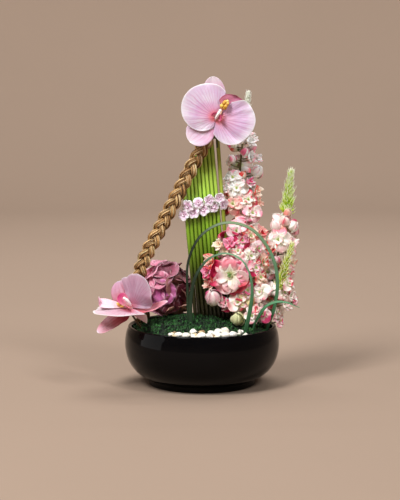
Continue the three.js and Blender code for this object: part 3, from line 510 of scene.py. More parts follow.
def curl(n):
    """One curled shred of moss: a thin ribbon that rises from the mat and bends over."""
    reach = MOSS["radius"] * 0.985 * math.sqrt(draw(n, 11))
    turn = 2 * math.pi * draw(n, 12)
    heading = 2 * math.pi * draw(n, 13)
    length = mix(5, 12, draw(n, 14))
    rise = mix(1.2, 4.6, draw(n, 15)) * (0.5 if reach > 90 else 1)
    share = np.linspace(0, 1, 7)
    swing = heading + mix(-2.4, 2.4, draw(n, 16)) * share
    step = length / 6
    x = reach * math.cos(turn) + np.concatenate([[0], np.cumsum(np.cos(swing[1:]) * step)])
    y = reach * math.sin(turn) + np.concatenate([[0], np.cumsum(np.sin(swing[1:]) * step)])
    z = moss_height(x, y) + rise * np.sin(math.pi * np.minimum(share * 1.15, 1)) - 0.3
    inside = np.minimum(1, (MOSS["radius"] + 0.5) / np.maximum(np.hypot(x, y), 1))
    width = mix(0.6, 1.25, draw(n, 17)) * np.sin(math.pi * (0.12 + 0.8 * share))
    form = swept(np.stack([x * inside, y * inside, z], axis=-1), width, 4, 0.3, reference=(0.3, 0.2, 1))
    # Painted light and shade: each shred is lighter or darker at random, and runs from a near-black shaded
    # green at its ends, down in the mat, to a painted highlight along its raised middle.
    light = draw(n, 18) ** 2.2
    dark, highlight_green = rgb(2, 20, 6), rgb(66, 146, 62)
    return form.tinted(lambda a, b: mix(dark, highlight_green, (light * (0.35 + 0.65 * np.sin(math.pi * a)))[:, None]))


def moss_mat():
    """The lumpy mat that the shreds grow from."""
    columns, rows = 120, 44
    turn = 2 * math.pi * np.arange(columns) / columns
    share = np.linspace(0.004, 1, rows)[:, None]
    reach = MOSS["radius"] * share
    x, y = reach * np.cos(turn), reach * np.sin(turn)
    lumps = 1.3 * np.sin(0.31 * x + 1) * np.cos(0.27 * y)
    lumps = lumps + 0.8 * np.sin(0.9 * x + 0.6 * y) * np.cos(0.8 * y - 0.5 * x)
    top = np.stack([x, y, moss_height(x, y) + lumps * (1 - share**4) - 1.2], axis=-1)
    bottom = np.full(columns, MOSS["bottom"])
    under = np.stack([top[-1, :, 0] * 0.95, top[-1, :, 1] * 0.95, bottom], axis=-1)
    middle = np.stack([top[0, :, 0], top[0, :, 1], bottom], axis=-1)
    rings = np.concatenate([top, under[None], middle[None]])
    # near-black green: partly the moss's own dark colour, partly painted shade in the gaps between the shreds
    return wrapped(rings, np.zeros_like(rings), folded=False).tinted(plain(rgb(8, 34, 16)))


def moss():
    stones = [(x, y, size) for x, y, _, size, _ in pebble_places()]
    shreds = []
    for shred in map(curl, range(MOSS["shreds"])):
        at_x, at_y, _ = shred.points.mean(axis=0)
        if at_y < -60 and any(math.hypot(at_x - x, at_y - y) < size - 1.5 for x, y, size in stones):
            continue
        shreds.append(shred)
    piece("moss_curls", joined([moss_mat(), *shreds]), "moss", ["moss_mat"])


def pebble(size, n):
    """A stone with a few broad flats and a lopsided shape."""
    sides = [unit([draw(n * 9 + k, series) - 0.5 for series in (21, 22, 23)]) for k in range(9)]
    form = ball(16, 22, lambda turn, height: 1 + 0.06 * np.sin(2 * turn + n) * (1 - height**2))
    away = np.ones(len(form.points))
    for k, side in enumerate(sides):
        away = np.minimum(away, mix(0.7, 0.96, draw(n + k, 24)) / np.maximum(form.points @ side, 0.05))
    stretch = [mix(0.85, 1.25, draw(n, 36)), mix(0.8, 1.1, draw(n, 37)), mix(0.62, 0.85, draw(n, 38))]
    form.points = form.points * (away * size * 1.12)[:, None] * stretch
    return form.tinted(plain(pick(STONES, n, 25)), n)


def pebbles():
    """The larger stones where the band of pebbles lies, and small loose ones strewn among them."""
    forms = []
    for n, (x, y, z, size, turn) in enumerate(pebble_places()):
        size = size * mix(0.7, 1.05, draw(n, 35))
        tilt = [0.7 * (draw(n, 26) - 0.5), 0.7 * (draw(n, 27) - 0.5), 1]
        shift = [2.6 * (draw(n, 39) - 0.5), 3 * (draw(n, 40) - 0.5), -4 - 2 * draw(n, 51)]
        forms.append(pebble(size, n).moved(facing(tilt, 6 * turn), np.array([x, y, z]) + shift))
    first = 20
    for n in range(first, first + PEBBLE["loose"]):
        radius = mix(80, 96, draw(n, 28))
        turn = math.radians(mix(-120, -46, draw(n, 29)))
        x, y = radius * math.cos(turn), radius * math.sin(turn)
        size = mix(2.4, 4.8, draw(n, 30))
        tilt = [draw(n, 26) - 0.5, draw(n, 27) - 0.5, 1]
        forms.append(pebble(size, n).moved(facing(tilt, 9 * turn), [x, y, moss_height(x, y) + 0.1 * size]))
    piece("pebbles_worn", joined(forms), "stone", ["pebbles"])


# ---- reeds ----
REED = {
    "radius": 2.62, "pitch": 5.72, "row_gap": 5, "x": -9.5, "y": -3, "lean": 0.0875, "foot": 32, "ground": 98,
    "top": 372, "top_step": 2.2, "first_tall": 5,
}
# Each row of reeds: its count, and how many pitches to the side it starts.
REED_ROWS = [(10, 0), (7, 1.5)]
PLAIT_ROUTE = [[13, -13.5, 370], [7, -14.5, 358], [-19, -15.5, 310], [-44.7, -15, 260], [-70, -12, 211],
               [-86, -6, 178], [-93, 2, 150], [-92, 7, 122], [-87, 9, 98], [-84, 9, 75.5]]
# The reeds' greens by height, as painted light and shade: dark low down among the flowers and moss, brightest
# between 285 and 350, a little darker again at the top.
REED_LIT_AND_SHADED = stops(
    (90, 12, 16, 8), (130, 26, 32, 14), (160, 38, 56, 12), (195, 98, 136, 26),
    (240, 132, 180, 46), (285, 186, 234, 92), (350, 184, 230, 94), (385, 148, 188, 74),
)
# The yellowed reeds' colours by height, also painted darker low down as shade.
REED_YELLOWS = stops((90, 70, 52, 22), (200, 140, 140, 48), (385, 168, 168, 70))
# The most yellowed reeds, by row and number.
YELLOWED = ((0, 9), (1, 6))


def reed_line(index, row):
    """A reed's two ends. The left ones end on the plait's line, the right ones behind the top orchid."""
    number = index + REED_ROWS[row][1]
    slant = REED["lean"] - (0.012 if row == 0 and index == 9 else 0)
    foot = REED["x"] + number * REED["pitch"]

    def at(z):
        return np.array([foot - slant * (z - REED["ground"]), REED["y"] + row * REED["row_gap"], z])

    (x1, _, z1), (x2, _, z2) = PLAIT_ROUTE[1], PLAIT_ROUTE[3]
    slope = (z1 - z2) / (x1 - x2)
    meets = (z1 + slope * (at(0)[0] - x1)) / (1 + slope * slant)
    tall = REED["top"] + REED["top_step"] * (number % 3)
    return at(REED["foot"]), at(tall if number >= REED["first_tall"] else meets + 5)


def reed(index, row):
    """A reed that sways a little, with painted shade low down and beside its neighbours, and a pale cut end.
    """
    start, end = reed_line(index, row)
    n, sides = index + 10 * row, 16
    share = np.concatenate([np.linspace(0, 0.994, 30), [1.0]])
    points = mix(start, end, share[:, None])
    sway = 0.22 * np.sin(share * mix(5, 9, draw(n, 31)) + 6 * draw(n, 32))
    points[:, 0] += sway * np.sin(math.pi * share)
    radii = 1.09 * REED["radius"] * (1 - 0.02 * share) * (1 + 0.012 * np.sin(40 * share + n))
    radii[-1] *= 0.86
    form = swept(points, radii, sides)
    height = form.points[:, 2]
    tone = 1.12 * mix(0.86, 1.12, draw(n, 33))
    warm = 0.75 if (row, index) in YELLOWED else 0.25 * draw(n, 34)
    # painted shade: dark where a reed lies against its neighbours, and darker all over in the row behind
    beside = np.abs(np.sin(2 * math.pi * (form.spots[:, 1] + 0.5 / sides) + math.pi / 2)) ** 3.2
    neighbour_shade = 1 - (0.78 if index % 9 else 0.45) * beside
    shades = mix(blend_stops(REED_LIT_AND_SHADED, height), blend_stops(REED_YELLOWS, height), warm)
    form.tints = shades * (tone * neighbour_shade * (0.4 if row else 1))[:, None]
    form.tints[-sides:] = rgb(196, 204, 140)
    form.spots[:, 2] = n
    return form


def reeds():
    for row, (count, _) in enumerate(REED_ROWS):
        side = "back" if row else "front"
        forms = [reed(i, row) for i in range(count)]
        piece(f"reeds_{side}", joined(forms), "reed", [f"reed_{side}_{i + 1}" for i in range(count)])


# ---- plait ----
PLAIT = {"wide": 6.9, "deep": 4.0, "turns": 6.5, "start": 0.4, "steps": 300, "fibres": 24, "strays": 26}
STRAW = [rgb(226, 186, 126), rgb(206, 160, 98), rgb(176, 128, 70), rgb(244, 214, 164), rgb(120, 80, 40),
         rgb(198, 152, 90)]


def strand_path(k):
    """The middle of a strand, which changes over in steps so that it lies flat where it crosses another."""
    share = np.linspace(0, 1, PLAIT["steps"])
    turn = 2 * math.pi * (PLAIT["turns"] * share + k / 3) + PLAIT["start"]
    weave = np.sin(2 * turn) / np.sqrt(0.5 + 0.5 * np.sin(2 * turn) ** 2)
    middle = Curve(PLAIT_ROUTE).even(share)
    side, out = frames(middle)
    return middle + side * (PLAIT["wide"] * np.sin(turn))[:, None] + out * (PLAIT["deep"] * weave)[:, None]


def fibre(path, share, ends, k, j):
    """One fibre of a strand, which winds round the strand's middle."""
    side, out = frames(path)
    n = k * PLAIT["fibres"] + j
    turn = 2 * math.pi * j / PLAIT["fibres"] + mix(5, 8, draw(k, 41)) * share * (1 + 0.1 * draw(n, 42))
    wide = 3.45 + 0.4 * np.sin(share * mix(40, 90, draw(n, 43)) + 6 * draw(n, 44))
    deep = 2.75 + 0.35 * np.sin(share * mix(40, 90, draw(n, 45)) + 6 * draw(n, 46))
    line = path + side * (wide * ends * np.cos(turn))[:, None] + out * (deep * ends * np.sin(turn))[:, None]
    tone, dark = pick(STRAW, n, 47), mix(0.6, 1.3, draw(n, 48))
    form = swept(line, mix(0.34, 0.6, draw(n, 49)), 5)
    return form.tinted(lambda a, b: tone * (dark + 0.16 * np.sin(60 * a + n))[:, None], n)


def stray(path, k, j):
    """A broken fibre that lifts off a strand."""
    side, out = frames(path)
    n, length = 90 + PLAIT["strays"] * k + j, 14
    i = int(mix(6, PLAIT["steps"] - 20, draw(n, 52)))
    part = slice(i, i + length)
    share = np.linspace(0, 1, length)
    away = (side[part] * (draw(n, 53) - 0.5) * 2 + out[part]) * (2.9 + 2.2 * share**2)[:, None]
    return swept(path[part] + away, 0.24 * np.linspace(1, 0.5, length), 4).tinted(plain(STRAW[j % 4]), n)


def plait():
    """Three strands, each of fibres wound round a dark core that paints the shade between them, with broken
    ones that stand off it.
    """
    share = np.linspace(0, 1, PLAIT["steps"])
    ends = np.minimum(1, 8 * np.minimum(share + 0.06, 1.04 - share)) ** 0.5
    for k in range(3):
        path = strand_path(k)
        # the dark core shows between the fibres as painted shade
        forms = [swept(path, 3.0 * ends, 8, 0.8).tinted(plain(rgb(58, 38, 20)), k)]
        forms += [fibre(path, share, ends, k, j) for j in range(PLAIT["fibres"])]
        forms += [stray(path, k, j) for j in range(PLAIT["strays"])]
        piece(f"plait_straw_{k + 1}", joined(forms), "straw", [f"plait_strand_{k + 1}"])


# ---- petals shared by the small flowers ----
def half_width(u, half, claw, widest):
    """Half a petal's width at a share of its length, with a narrow claw and a round end."""
    rising = claw + (half - claw) * np.sin((math.pi / 2) * np.clip(u / widest, 0, 1)) ** 0.75
    t = np.clip((u - widest) / (1 - widest), 0, 1)
    return np.where(u < widest, rising, half * np.sqrt(np.maximum(1 - t * t, 0.012)))


def spoon(length, half, rise, curl, trough, widest, claw, ripple=0.0, phase=0.0):
    """A small petal along +X that rises from the flower's plane and bends outwards at its end."""

    def surface(share, v):
        u = 1 - (1 - share) ** 1.35
        side = half_width(u, half, claw * half, widest) * v
        along = length * u
        lift = along * math.sin(rise) - curl * length * u**3
        hollow = trough * half * v**2 * np.sin(math.pi * np.minimum(u, 0.92))
        wave = ripple * length * np.sin(5 * v + 6 * u + phase) * u
        return np.stack([along * math.cos(rise), side, lift + hollow + wave], axis=-1)

    return surface


def whorl(count, offset, form, lift=0.0):
    """Copies of a petal round +Z."""
    for i in range(count):
        yield form.moved(spin(offset + 2 * math.pi * i / count), [0, 0, lift])


# ---- garland ----
GARLAND = {"z": 259, "half_height": 5, "rise": 15, "count": 9, "corner": 0.3, "row_gap": 5.2, "climb": 8}
# Each kind of petal: its length, half width and rise.
GARLAND_PETALS = ((9.8, 4.6, 0.2), (8.9, 4.3, 0.5), (9.6, 4.0, 0.35), (8.4, 4.6, 0.05))
GARLAND_STOPS = stops((0, 204, 116, 162), (0.25, 234, 196, 226), (0.6, 246, 228, 246), (0.86, 255, 254, 255))


def reed_x(index, z):
    """How far to the side a reed of the front row stands, at a height."""
    start, end = reed_line(index, 0)
    return mix(start, end, (z - start[2]) / (end[2] - start[2]))[0]


def garland_band(middle, centre_y, half_x, half_y):
    """A flat band round the reeds, which climbs to the right."""
    turn = np.linspace(0, 2 * math.pi, 73)[:-1]
    x = (half_x + 1.5) * np.sign(np.cos(turn)) * np.abs(np.cos(turn)) ** GARLAND["corner"]
    y = (half_y + 0.6) * np.sign(np.sin(turn)) * np.abs(np.sin(turn)) ** GARLAND["corner"]
    low = GARLAND["z"] - GARLAND["half_height"] + x * GARLAND["rise"] / (2 * half_x)
    high = low + 2 * GARLAND["half_height"]
    corners = ((1, 1, low), (1, 1, high), (0.97, 0.88, high), (0.97, 0.88, low))
    rings = np.stack([np.stack([middle + x * a, centre_y + y * b, z], -1) for a, b, z in corners], axis=1)
    number = np.arange(rings.shape[0] * 4).reshape(-1, 4)
    after, above = np.roll(number, -1, axis=0), np.roll(number, -1, axis=1)
    quads = np.stack([number, after, np.roll(after, -1, axis=1), above], axis=-1).reshape(-1, 4)
    flat = rings.reshape(-1, 3)
    return Form(flat, [quads], np.tile(rgb(96, 118, 60), (len(flat), 1)), np.zeros((len(flat), 3)))


def garland():
    """Small florets on short stalks along a band, in two rows that climb to the right."""
    left, right = reed_x(0, GARLAND["z"]), reed_x(9, GARLAND["z"])
    margin = REED["radius"] + 0.5
    middle, half_x = (left + right) / 2, (right - left) / 2 + margin
    half_y, centre_y = REED["row_gap"] / 2 + margin, REED["y"] + REED["row_gap"] / 2
    outers = [leaf(spoon(length, wide, rise, 0.16, 0.3, 0.62, 0.4, 0.05, k), 12, 10, 0.5)
              for k, (length, wide, rise) in enumerate(GARLAND_PETALS)]
    inner = leaf(spoon(3.4, 1.6, 0.9, 0.1, 0.3, 0.6, 0.5), 5, 4, 0.4)

    def colour(a, b):
        return blend_stops(GARLAND_STOPS, np.maximum(a, 0.95 * np.abs(b) ** 3 * (a > 0.25)))

    forms = [garland_band(middle, centre_y, half_x, half_y)]
    front, height = centre_y - half_y - 0.6, GARLAND["z"] + 3
    for i in range(GARLAND["count"]):
        across = 2 * i / (GARLAND["count"] - 1) - 1
        row = 1 if i % 2 else -1
        out = (6.2 if row > 0 else 3.2) + 1.6 * (1 - across**2)
        up = height + GARLAND["row_gap"] * row + GARLAND["climb"] * across
        stem = np.array([middle + across * (half_x - 3.5) - 1, front, up])
        direction = np.array([0.5 * across, -1, 0.12 * row])
        at = stem + direction * out
        direction = direction + np.array([draw(i, 54) - 0.5, 0, draw(i, 55) - 0.5]) * 0.7
        turned = facing(direction, i)
        bloom = [*whorl(5, math.radians(36), pick(outers, i, 56)), *whorl(5, math.radians(72), inner, 0.7)]
        eye = ball(6, 8, 1.1).moved(np.eye(3), [0, 0, 1.6]).tinted(plain(rgb(186, 96, 140)), i)
        stalk = bar(stem + [0, 1, 0], at, 0.7, 5).tinted(plain(rgb(120, 140, 70)), i)
        forms += [petal.tinted(colour, i).moved(turned, at) for petal in bloom]
        forms += [eye.moved(turned, at), stalk]
    piece("garland_florets", joined(forms), "floret", ["garland"])


# ---- orchids ----
# tints: a tone for each petal and each sepal; the darker ones are painted shade on pieces that lie behind the
# others.
# Each flower has its own frame: z faces out along "normal", y points along "dorsal", angles turn from x to y.
# petals: spreads and folds are for the lip's side and the dorsal side. The outline is a round one: how far
#     out its middle is, its half length and its half width. "cut" takes off its corner on the lip's side.
#     Each crease has its place across and its depth.
# sepals: angle, length, half width, cup, twist, sag and the place of the widest part.
# lip: stations along its middle, with x, y, half width and the heights of the edges at +x and at -x.
# lobes: angle, length, half width and cup.
# callus: its two ends, half the gap between its pairs of knobs, and their girth.
ORCHIDS = [
    {
        "name": "orchid_top",
        "centre": [20, -46, 389.5],
        "dorsal": [-0.53, 0, -0.848],
        "normal": [-0.06, -0.98, 0.12],
        "petals": [
            {"angle": -13, "spreads": (65, 121), "cup": 6, "folds": (0.03, 0.08), "twist": 0,
             "outline": (22.5, 32, 36), "cut": 0, "tint": [0.76, 0.8, 0.76],
             "creases": ((0.34, -1.6), (-0.42, 1.1), (0.62, 0.9), (0.05, 0.7))},
            {"angle": 203, "spreads": (55, 92), "cup": 6, "folds": (0.12, 0.08), "twist": 0,
             "outline": (24, 31.5, 34.5), "cut": 0.26, "tint": [0.76, 0.8, 0.76],
             "creases": ((0.35, 6.2), (-0.3, 1.2), (0.66, -1.8), (0.05, -0.8))},
        ],
        "petal_look": "orchid_petal",
        "sepals": [
            (72, 48, 20, -4, 0, 0, 0.58), (-52, 57.5, 17, -4, 0, 0, 0.5), (-138, 50, 18.5, -4, 0, 0, 0.55),
        ],
        "sepal_tints_and_shade": [[0.9, 1, 0.98], [0.62, 0.6, 0.57], [0.78, 0.86, 0.82]],
        "sepal_look": "orchid_sepal",
        "lip": [
            (0, -2.5, 2.6, 2.7, 2.7), (0, -10, 2.9, 4.0, 3.6), (0, -18, 2.7, 3.2, 0),
            (-1.5, -24, 11, 4.8, -3), (-7.5, -34, 14.5, 6, -2), (-11.5, -42, 9, 5, -0.5),
        ],
        "lip_stops": stops((0, 240, 200, 150), (0.4, 236, 170, 150), (0.6, 222, 140, 170),
                           (1, 212, 140, 176)),
        "lip_rim": rgb(132, 34, 60),
        "lobes": [(-146, 11, 5, 62), (-34, 11, 5, 62)],
        "callus": ([-0.4, -18.5, 7.2], [-1.2, -28, 9], 2.5, 3.1),
        "column": [[0, 0.5, 3.55], [0, -0.5, 7], [0, -5, 10.5], [0, -11.5, 12]],
        "stem": [[20.5, -13, 385], [20.6, -7.9, 366], [21.8, -7.55, 345]],
    },
    {
        "name": "orchid_low",
        "centre": [-103, -41, 118],
        "dorsal": [0.985, 0.03, 0.14],
        "normal": [-0.08, -0.72, 0.69],
        "petals": [
            {"angle": -46, "spreads": (66, 100), "cup": 42, "folds": (0.04, 0.04), "twist": 26,
             "outline": (24, 34, 42), "cut": 0, "tint": [0.72, 0.74, 0.68], "creases": ((0.3, 0.8),)},
            {"angle": 155, "spreads": (38, 82), "cup": 37, "folds": (0.08, 0.08), "twist": 25,
             "outline": (21, 30, 33), "cut": 0, "tint": [0.48, 0.43, 0.46],
             "creases": ((0.1, 1.4), (-0.5, 0.8))},
        ],
        "petal_look": "orchid_petal_low",
        "sepals": [
            (90, 52, 14, 6, -35, 8, 0.5), (-62, 56, 18, -8, 24, 0, 0.42), (-166, 46, 19, 10, 5, 0, 0.45),
        ],
        "sepal_tints_and_shade": [[1, 1, 1], [1, 1, 1], [0.62, 0.62, 0.72]],
        "sepal_look": "orchid_sepal_low",
        "lip": [
            (0, -2.5, 2.6, 2.7, 2.7), (-2, -10, 3.4, 4.2, 4.2), (-5, -20, 6, 5.4, 5.4),
            (-9, -32, 8.5, 5.6, 5.6), (-12, -43, 7.5, 7, 7), (-15, -41.5, 3.5, 15, 15),
        ],
        "lip_stops": stops((0, 240, 200, 160), (0.35, 240, 196, 204), (0.7, 244, 206, 220),
                           (0.88, 206, 60, 130), (1, 250, 236, 240)),
        "lip_rim": rgb(246, 226, 236),
        "lobes": [(-130, 22, 9, 45), (-50, 8, 4.5, 60)],
        "callus": ([-1.5, -11, 6.4], [-4, -17, 8.6], 1.5, 2.5),
        "column": [[0, 0.5, 3.55], [-0.5, 0.5, 8], [-2.5, -2, 13.5], [-5, -6, 18]],
        "stem": [[-94, -29, 95], [-86, -25, 83], [-83, -25, 60]],
    },
]
LOBE_STOPS = stops((0, 240, 206, 190), (0.3, 232, 150, 170), (0.7, 214, 70, 130), (1, 180, 40, 96))
COLUMN_STOPS = stops((0, 240, 160, 176), (0.25, 250, 232, 236), (1, 255, 252, 248))
STEM_STOPS = stops((0, 150, 110, 104), (0.3, 110, 80, 56), (1, 80, 90, 44))
CALLUS_YELLOWS = [rgb(208, 150, 40), rgb(236, 196, 84), rgb(224, 170, 60), rgb(240, 210, 120),
                  rgb(196, 130, 50)]
PETAL_FOOT = 2.4


def swung(angle, out, side, height):
    """Points given along and across an axis at an angle, in the flower's frame."""
    turn = math.radians(angle)
    x = out * math.cos(turn) - side * math.sin(turn)
    y = out * math.sin(turn) + side * math.cos(turn)
    return np.stack([x, y, height], -1)


def petal_reach(angle, outline):
    """Distance from the flower's middle to a petal's round outline, at an angle from the petal's axis."""
    middle, along, across = outline
    c, s = np.cos(angle), np.sin(angle)
    square = (c / along) ** 2 + (s / across) ** 2
    half = middle * c / along**2
    return (half + np.sqrt(half * half - square * ((middle / along) ** 2 - 1))) / square


def petal_surface(petal, hand, n):
    """A broad petal with a round outline, which is cupped, folded, creased and crumpled."""
    lip_side, dorsal_side = petal["spreads"]
    lip_fold, dorsal_fold = petal["folds"]
    outline, broad = petal["outline"], petal["outline"][2]
    rise, twist = math.radians(petal["cup"]), math.radians(petal["twist"])

    def surface(u, v):
        spread = np.radians(np.where(v < 0, v * lip_side, v * dorsal_side)) * hand
        scallop = 1 + 0.012 * np.sin(7 * v + n) - 0.015 * np.abs(np.sin(3.1 * v + 0.4 * n)) ** 8
        scallop = scallop - petal["cut"] * ease((-v - 0.7) / 0.3)
        radius = PETAL_FOOT + (petal_reach(spread, outline) * scallop - PETAL_FOOT) * u
        along, side = radius * np.cos(spread), radius * np.sin(spread)
        bent = np.maximum(along - 7, 0)
        turn = twist * ease((along - 6) / 18) * hand
        folds = np.where(v < 0, lip_fold, dorsal_fold) * side**2 * u / broad
        ridges = 0.2 * u * np.sin(spread * 26 + 2.5 * np.sin(3 * spread)) * np.minimum(1, 3 * (1 - u) + 0.3)
        for place, depth in petal["creases"]:
            away = (v - place - 0.05 * np.sin(3 * u)) / 0.09
            ridges = ridges - depth * u * np.exp(-away * away) * (1 - 0.5 * u)
        crumple = 0.35 * np.sin(9 * u + 14 * v + 3 * np.sin(5 * v + n)) * np.sin(4 * v + 7 * u + n) * u
        edge = 1.0 * u**6 * np.sin(9 * v + 2 * n) + 0.5 * u**3 * np.sin(17 * v + n)
        height = 0.4 + bent * math.sin(rise) + folds + 0.9 * u**2 * np.sin(6 * v + 1) - 1.6 * u**2
        height = height + side * np.sin(turn) * math.cos(rise) + ridges + crumple + edge
        out = np.minimum(along, 7) + bent * math.cos(rise) - side * np.sin(turn) * math.sin(rise)
        return swung(petal["angle"], out, side * np.cos(turn), height)

    return surface


def sepal_surface(angle, length, half, cup, twist, sag, widest):
    """A sepal: an oval that narrows to a tip, cupped, twisted and hollowed."""
    rise = math.radians(cup)

    def surface(share, v):
        u = 1 - (1 - share) ** 1.35
        side = half_width(u, half, 3, widest) * v
        along = 2.5 + length * u
        bent = np.maximum(along - 6.5, 0)
        turn = math.radians(twist) * ease((along - 6) / 20)
        hollow = 0.04 * half * v**2 * np.sin(math.pi * np.minimum(u, 0.9))
        ridges = 0.16 * np.sin(15 * v + 2 * u) * np.sin(math.pi * u)
        waves = 0.4 * np.sin(4 * v + 5 * u) * u
        height = -2.6 + bent * math.sin(rise) - 0.02 * length * u**2 + hollow + waves
        height = height + ridges + side * np.sin(turn) * math.cos(rise) - sag * np.sin(math.pi * u) ** 2
        out = np.minimum(along, 6.5) + bent * math.cos(rise) - side * np.sin(turn) * math.sin(rise)
        return swung(angle, out, side * np.cos(turn), height)

    return surface


def stations(values, u):
    """A smooth reading of evenly spaced stations, each a row of numbers."""
    rows = np.array(values, float)
    rows = np.vstack([2 * rows[0] - rows[1], rows, 2 * rows[-1] - rows[-2]])
    place = np.clip(u, 0, 1) * (len(values) - 1)
    i = np.minimum(place.astype(int), len(values) - 2)
    t = (place - i)[..., None]
    a, b, c, d = (rows[i + k] for k in range(4))
    return b + 0.5 * t * (c - a + t * (2 * a - 5 * b + 4 * c - d + t * (3 * (b - c) + d - a)))


def lip_blade(values, rim):
    """The lip's middle: a claw that widens into a shallow dish with a raised rim."""

    def surface(u, v):
        x, y, half, plus, minus = np.moveaxis(stations(values, u), -1, 0)
        end = np.clip((u - 0.84) / 0.16, 0, 1)
        half = half * np.sqrt(1 - 0.75 * end**2)
        dish = rim * ease((u - 0.4) / 0.3) * (np.abs(v) ** 3 * (v > 0) + 0.15 * v**2)
        turned_up = rim * np.clip(u - 0.85, 0, 1) * 4
        height = mix(minus, plus, (v + 1) / 2) + dish + 0.3 * np.sin(7 * v + 5 * u) * u + turned_up
        return np.stack([x + half * v, y, height], axis=-1)

    return surface


def side_lobe(angle, length, half, cup):
    """One of the lip's two side lobes, which stand up beside the column."""
    rise = math.radians(cup)

    def surface(share, v):
        u = 1 - (1 - share) ** 1.35
        side = half_width(u, half, 2.6, 0.6) * v
        along = 2.5 + length * u
        bent = np.maximum(along - 2.6, 0)
        hollow = 0.3 * half * v**2 * np.sin(math.pi * np.minimum(u, 0.9))
        height = 2.7 + bent * math.sin(rise) + hollow + 0.25 * np.sin(6 * v + 4 * u) * u
        return swung(angle, np.minimum(along, 2.6) + bent * math.cos(rise), side, height)

    return surface


def lobe_colour(a, b):
    """A side lobe's colour, with stripes along it."""
    stripes = 0.4 * (0.5 + 0.5 * np.sin(26 * b)) * np.sin(math.pi * np.clip(a, 0, 1))
    return mix(blend_stops(LOBE_STOPS, a), rgb(176, 40, 96), stripes[:, None])


def dish_colour(shades, rim):
    """The colour of a lip's dish: changing along its length, veined, with a line round its rim."""

    def colour(a, b):
        edge = np.maximum(ease((a - 0.9) / 0.08), ease((b - 0.86) / 0.1) * (a > 0.45))
        veins = 0.5 + 0.5 * np.sin(30 * b + 6 * a)
        base = mix(blend_stops(shades, a), rgb(150, 40, 90), (0.25 * veins * (a > 0.4))[:, None])
        return mix(base, rim, (0.85 * edge)[:, None])

    return colour


def orchid_petals(flower, series):
    forms = []
    for i, (petal, hand) in enumerate(zip(flower["petals"], (1, -1))):
        form = leaf(petal_surface(petal, hand, series + i), 44, 84, 0.8)
        form = form if hand > 0 else form.flipped()
        # a petal's tint, darker as painted shade on a back petal
        forms.append(form.tinted(plain(petal["tint"]), series + 3 * i))
    hub = bar([0, 0, -0.6], [0, 0, 1], 4.4, 16, 3.6)
    return [*forms, hub.tinted(plain(np.ones(3)), series)]


def orchid_sepals(flower, series):
    # each sepal's tint, darker as painted shade on those that lie behind
    forms = [leaf(sepal_surface(*sepal), 30, 24, 0.8).tinted(plain(tint), series + 5 * k)
             for k, (sepal, tint) in enumerate(zip(flower["sepals"], flower["sepal_tints_and_shade"]))]
    hub = bar([0, 0, -3.8], [0, 0, -0.95], 4.2, 16)
    return [*forms, hub.tinted(plain(np.ones(3)), series)]


def orchid_callus(start, end, gap, girth):
    """Four pairs of yellow knobs and a last one, on a low ridge."""
    start, end = np.array(start, float), np.array(end, float)
    forms = []
    for k in range(9):
        share = (k // 2) / 4
        beside = np.zeros(3)
        if k < 8:
            beside = np.array([gap * (1 if k % 2 else -1) * (1 - 0.25 * share), 0, 0.9 * (k % 3)])
        thick = girth - 0.6 * share
        knob = ball(9, 10, lambda turn, height: thick * (1 + 0.1 * np.sin(5 * turn + k) * (1 - height**2)))
        knob = knob.moved(np.eye(3), mix(start, end, share) + beside)
        forms.append(knob.tinted(plain(CALLUS_YELLOWS[k % 5]), k))
    ridge = bar(start - [0, 0, 1.6], end - [0, 0, 1.6], 2.6, 12, 2.4, 4)
    return [*forms, ridge.tinted(plain(rgb(220, 150, 80)), 5)]


def orchid_lip(flower):
    """The lip: two side lobes, a dish, the callus on it and a foot."""
    lobes = [leaf(side_lobe(*lobe), 20, 16, 0.8).tinted(lobe_colour, k)
             for k, lobe in enumerate(flower["lobes"])]
    dish = leaf(lip_blade(flower["lip"], 1.2), 34, 24, 0.8)
    dish = dish.tinted(dish_colour(flower["lip_stops"], flower["lip_rim"]), 2)
    foot = bar([0, 0, 1.9], [0, 0, 3.1], 3.7, 16, 3.2).tinted(plain(rgb(234, 150, 150)), 6)
    return [*lobes, dish, *orchid_callus(*flower["callus"]), foot]


def orchid_column(route):
    """The column, which thickens towards its rounded cap."""
    share = np.linspace(0, 1, 20)
    girth = 1.9 + 0.7 * share - 8.4 * np.maximum(share - 0.85, 0)
    shaft = swept(Curve(route).at(share), girth, 18, 0.9, reference=(1, 0, 0))
    cap = ball(10, 14, 2.4).moved(np.diag([0.9, 0.9, 0.8]), route[-1])
    return [shaft.tinted(graded(COLUMN_STOPS)), cap.tinted(plain(rgb(255, 248, 240)))]


def orchid(flower, series):
    z = unit(flower["normal"])
    y = np.array(flower["dorsal"], float)
    y = unit(y - z * (z @ y))
    turn = np.stack([np.cross(y, z), y, z], axis=1)
    name, at = flower["name"], np.array(flower["centre"], float)

    def put(part, finish, forms, look, slot):
        piece(f"{name}_{part}_{finish}", joined(forms).moved(turn, at), look, [f"{name}_{part}"])

    put("petals", "veined", orchid_petals(flower, series), flower["petal_look"], "orchid")
    put("sepals", "veined", orchid_sepals(flower, series), flower["sepal_look"], "orchid")
    put("lip", "veined", orchid_lip(flower), "lip", "lip")
    put("column", "waxy", orchid_column(flower["column"]), "column", "column")
    behind = [turn @ np.array([0, 0, depth]) + at for depth in (-4.15, -14)]
    stem = Curve([*behind, *flower["stem"]])
    stalk = swept(stem.at(np.linspace(0, 1, 40)), 1.5, 12, reference=(1, 0, 0)).tinted(graded(STEM_STOPS))
    piece(f"{name}_stalk", stalk, "stalk", [f"{name}_stem"])


# ---- grass ----
BLADE_SECTION = np.array([[1, 0.02], [0.55, 0.17], [0.08, 0.02], [-0.08, 0.02], [-0.55, 0.17], [-1, 0.02],
                          [-0.55, -0.06], [0, -0.26], [0.55, -0.06]])
BLADE_LIT = stops((80, 30, 72, 40), (120, 62, 122, 80), (190, 104, 148, 112), (245, 112, 136, 96))
BLADE_SHADED = stops((80, 30, 58, 32), (150, 16, 42, 18), (220, 8, 26, 8), (245, 34, 54, 26))
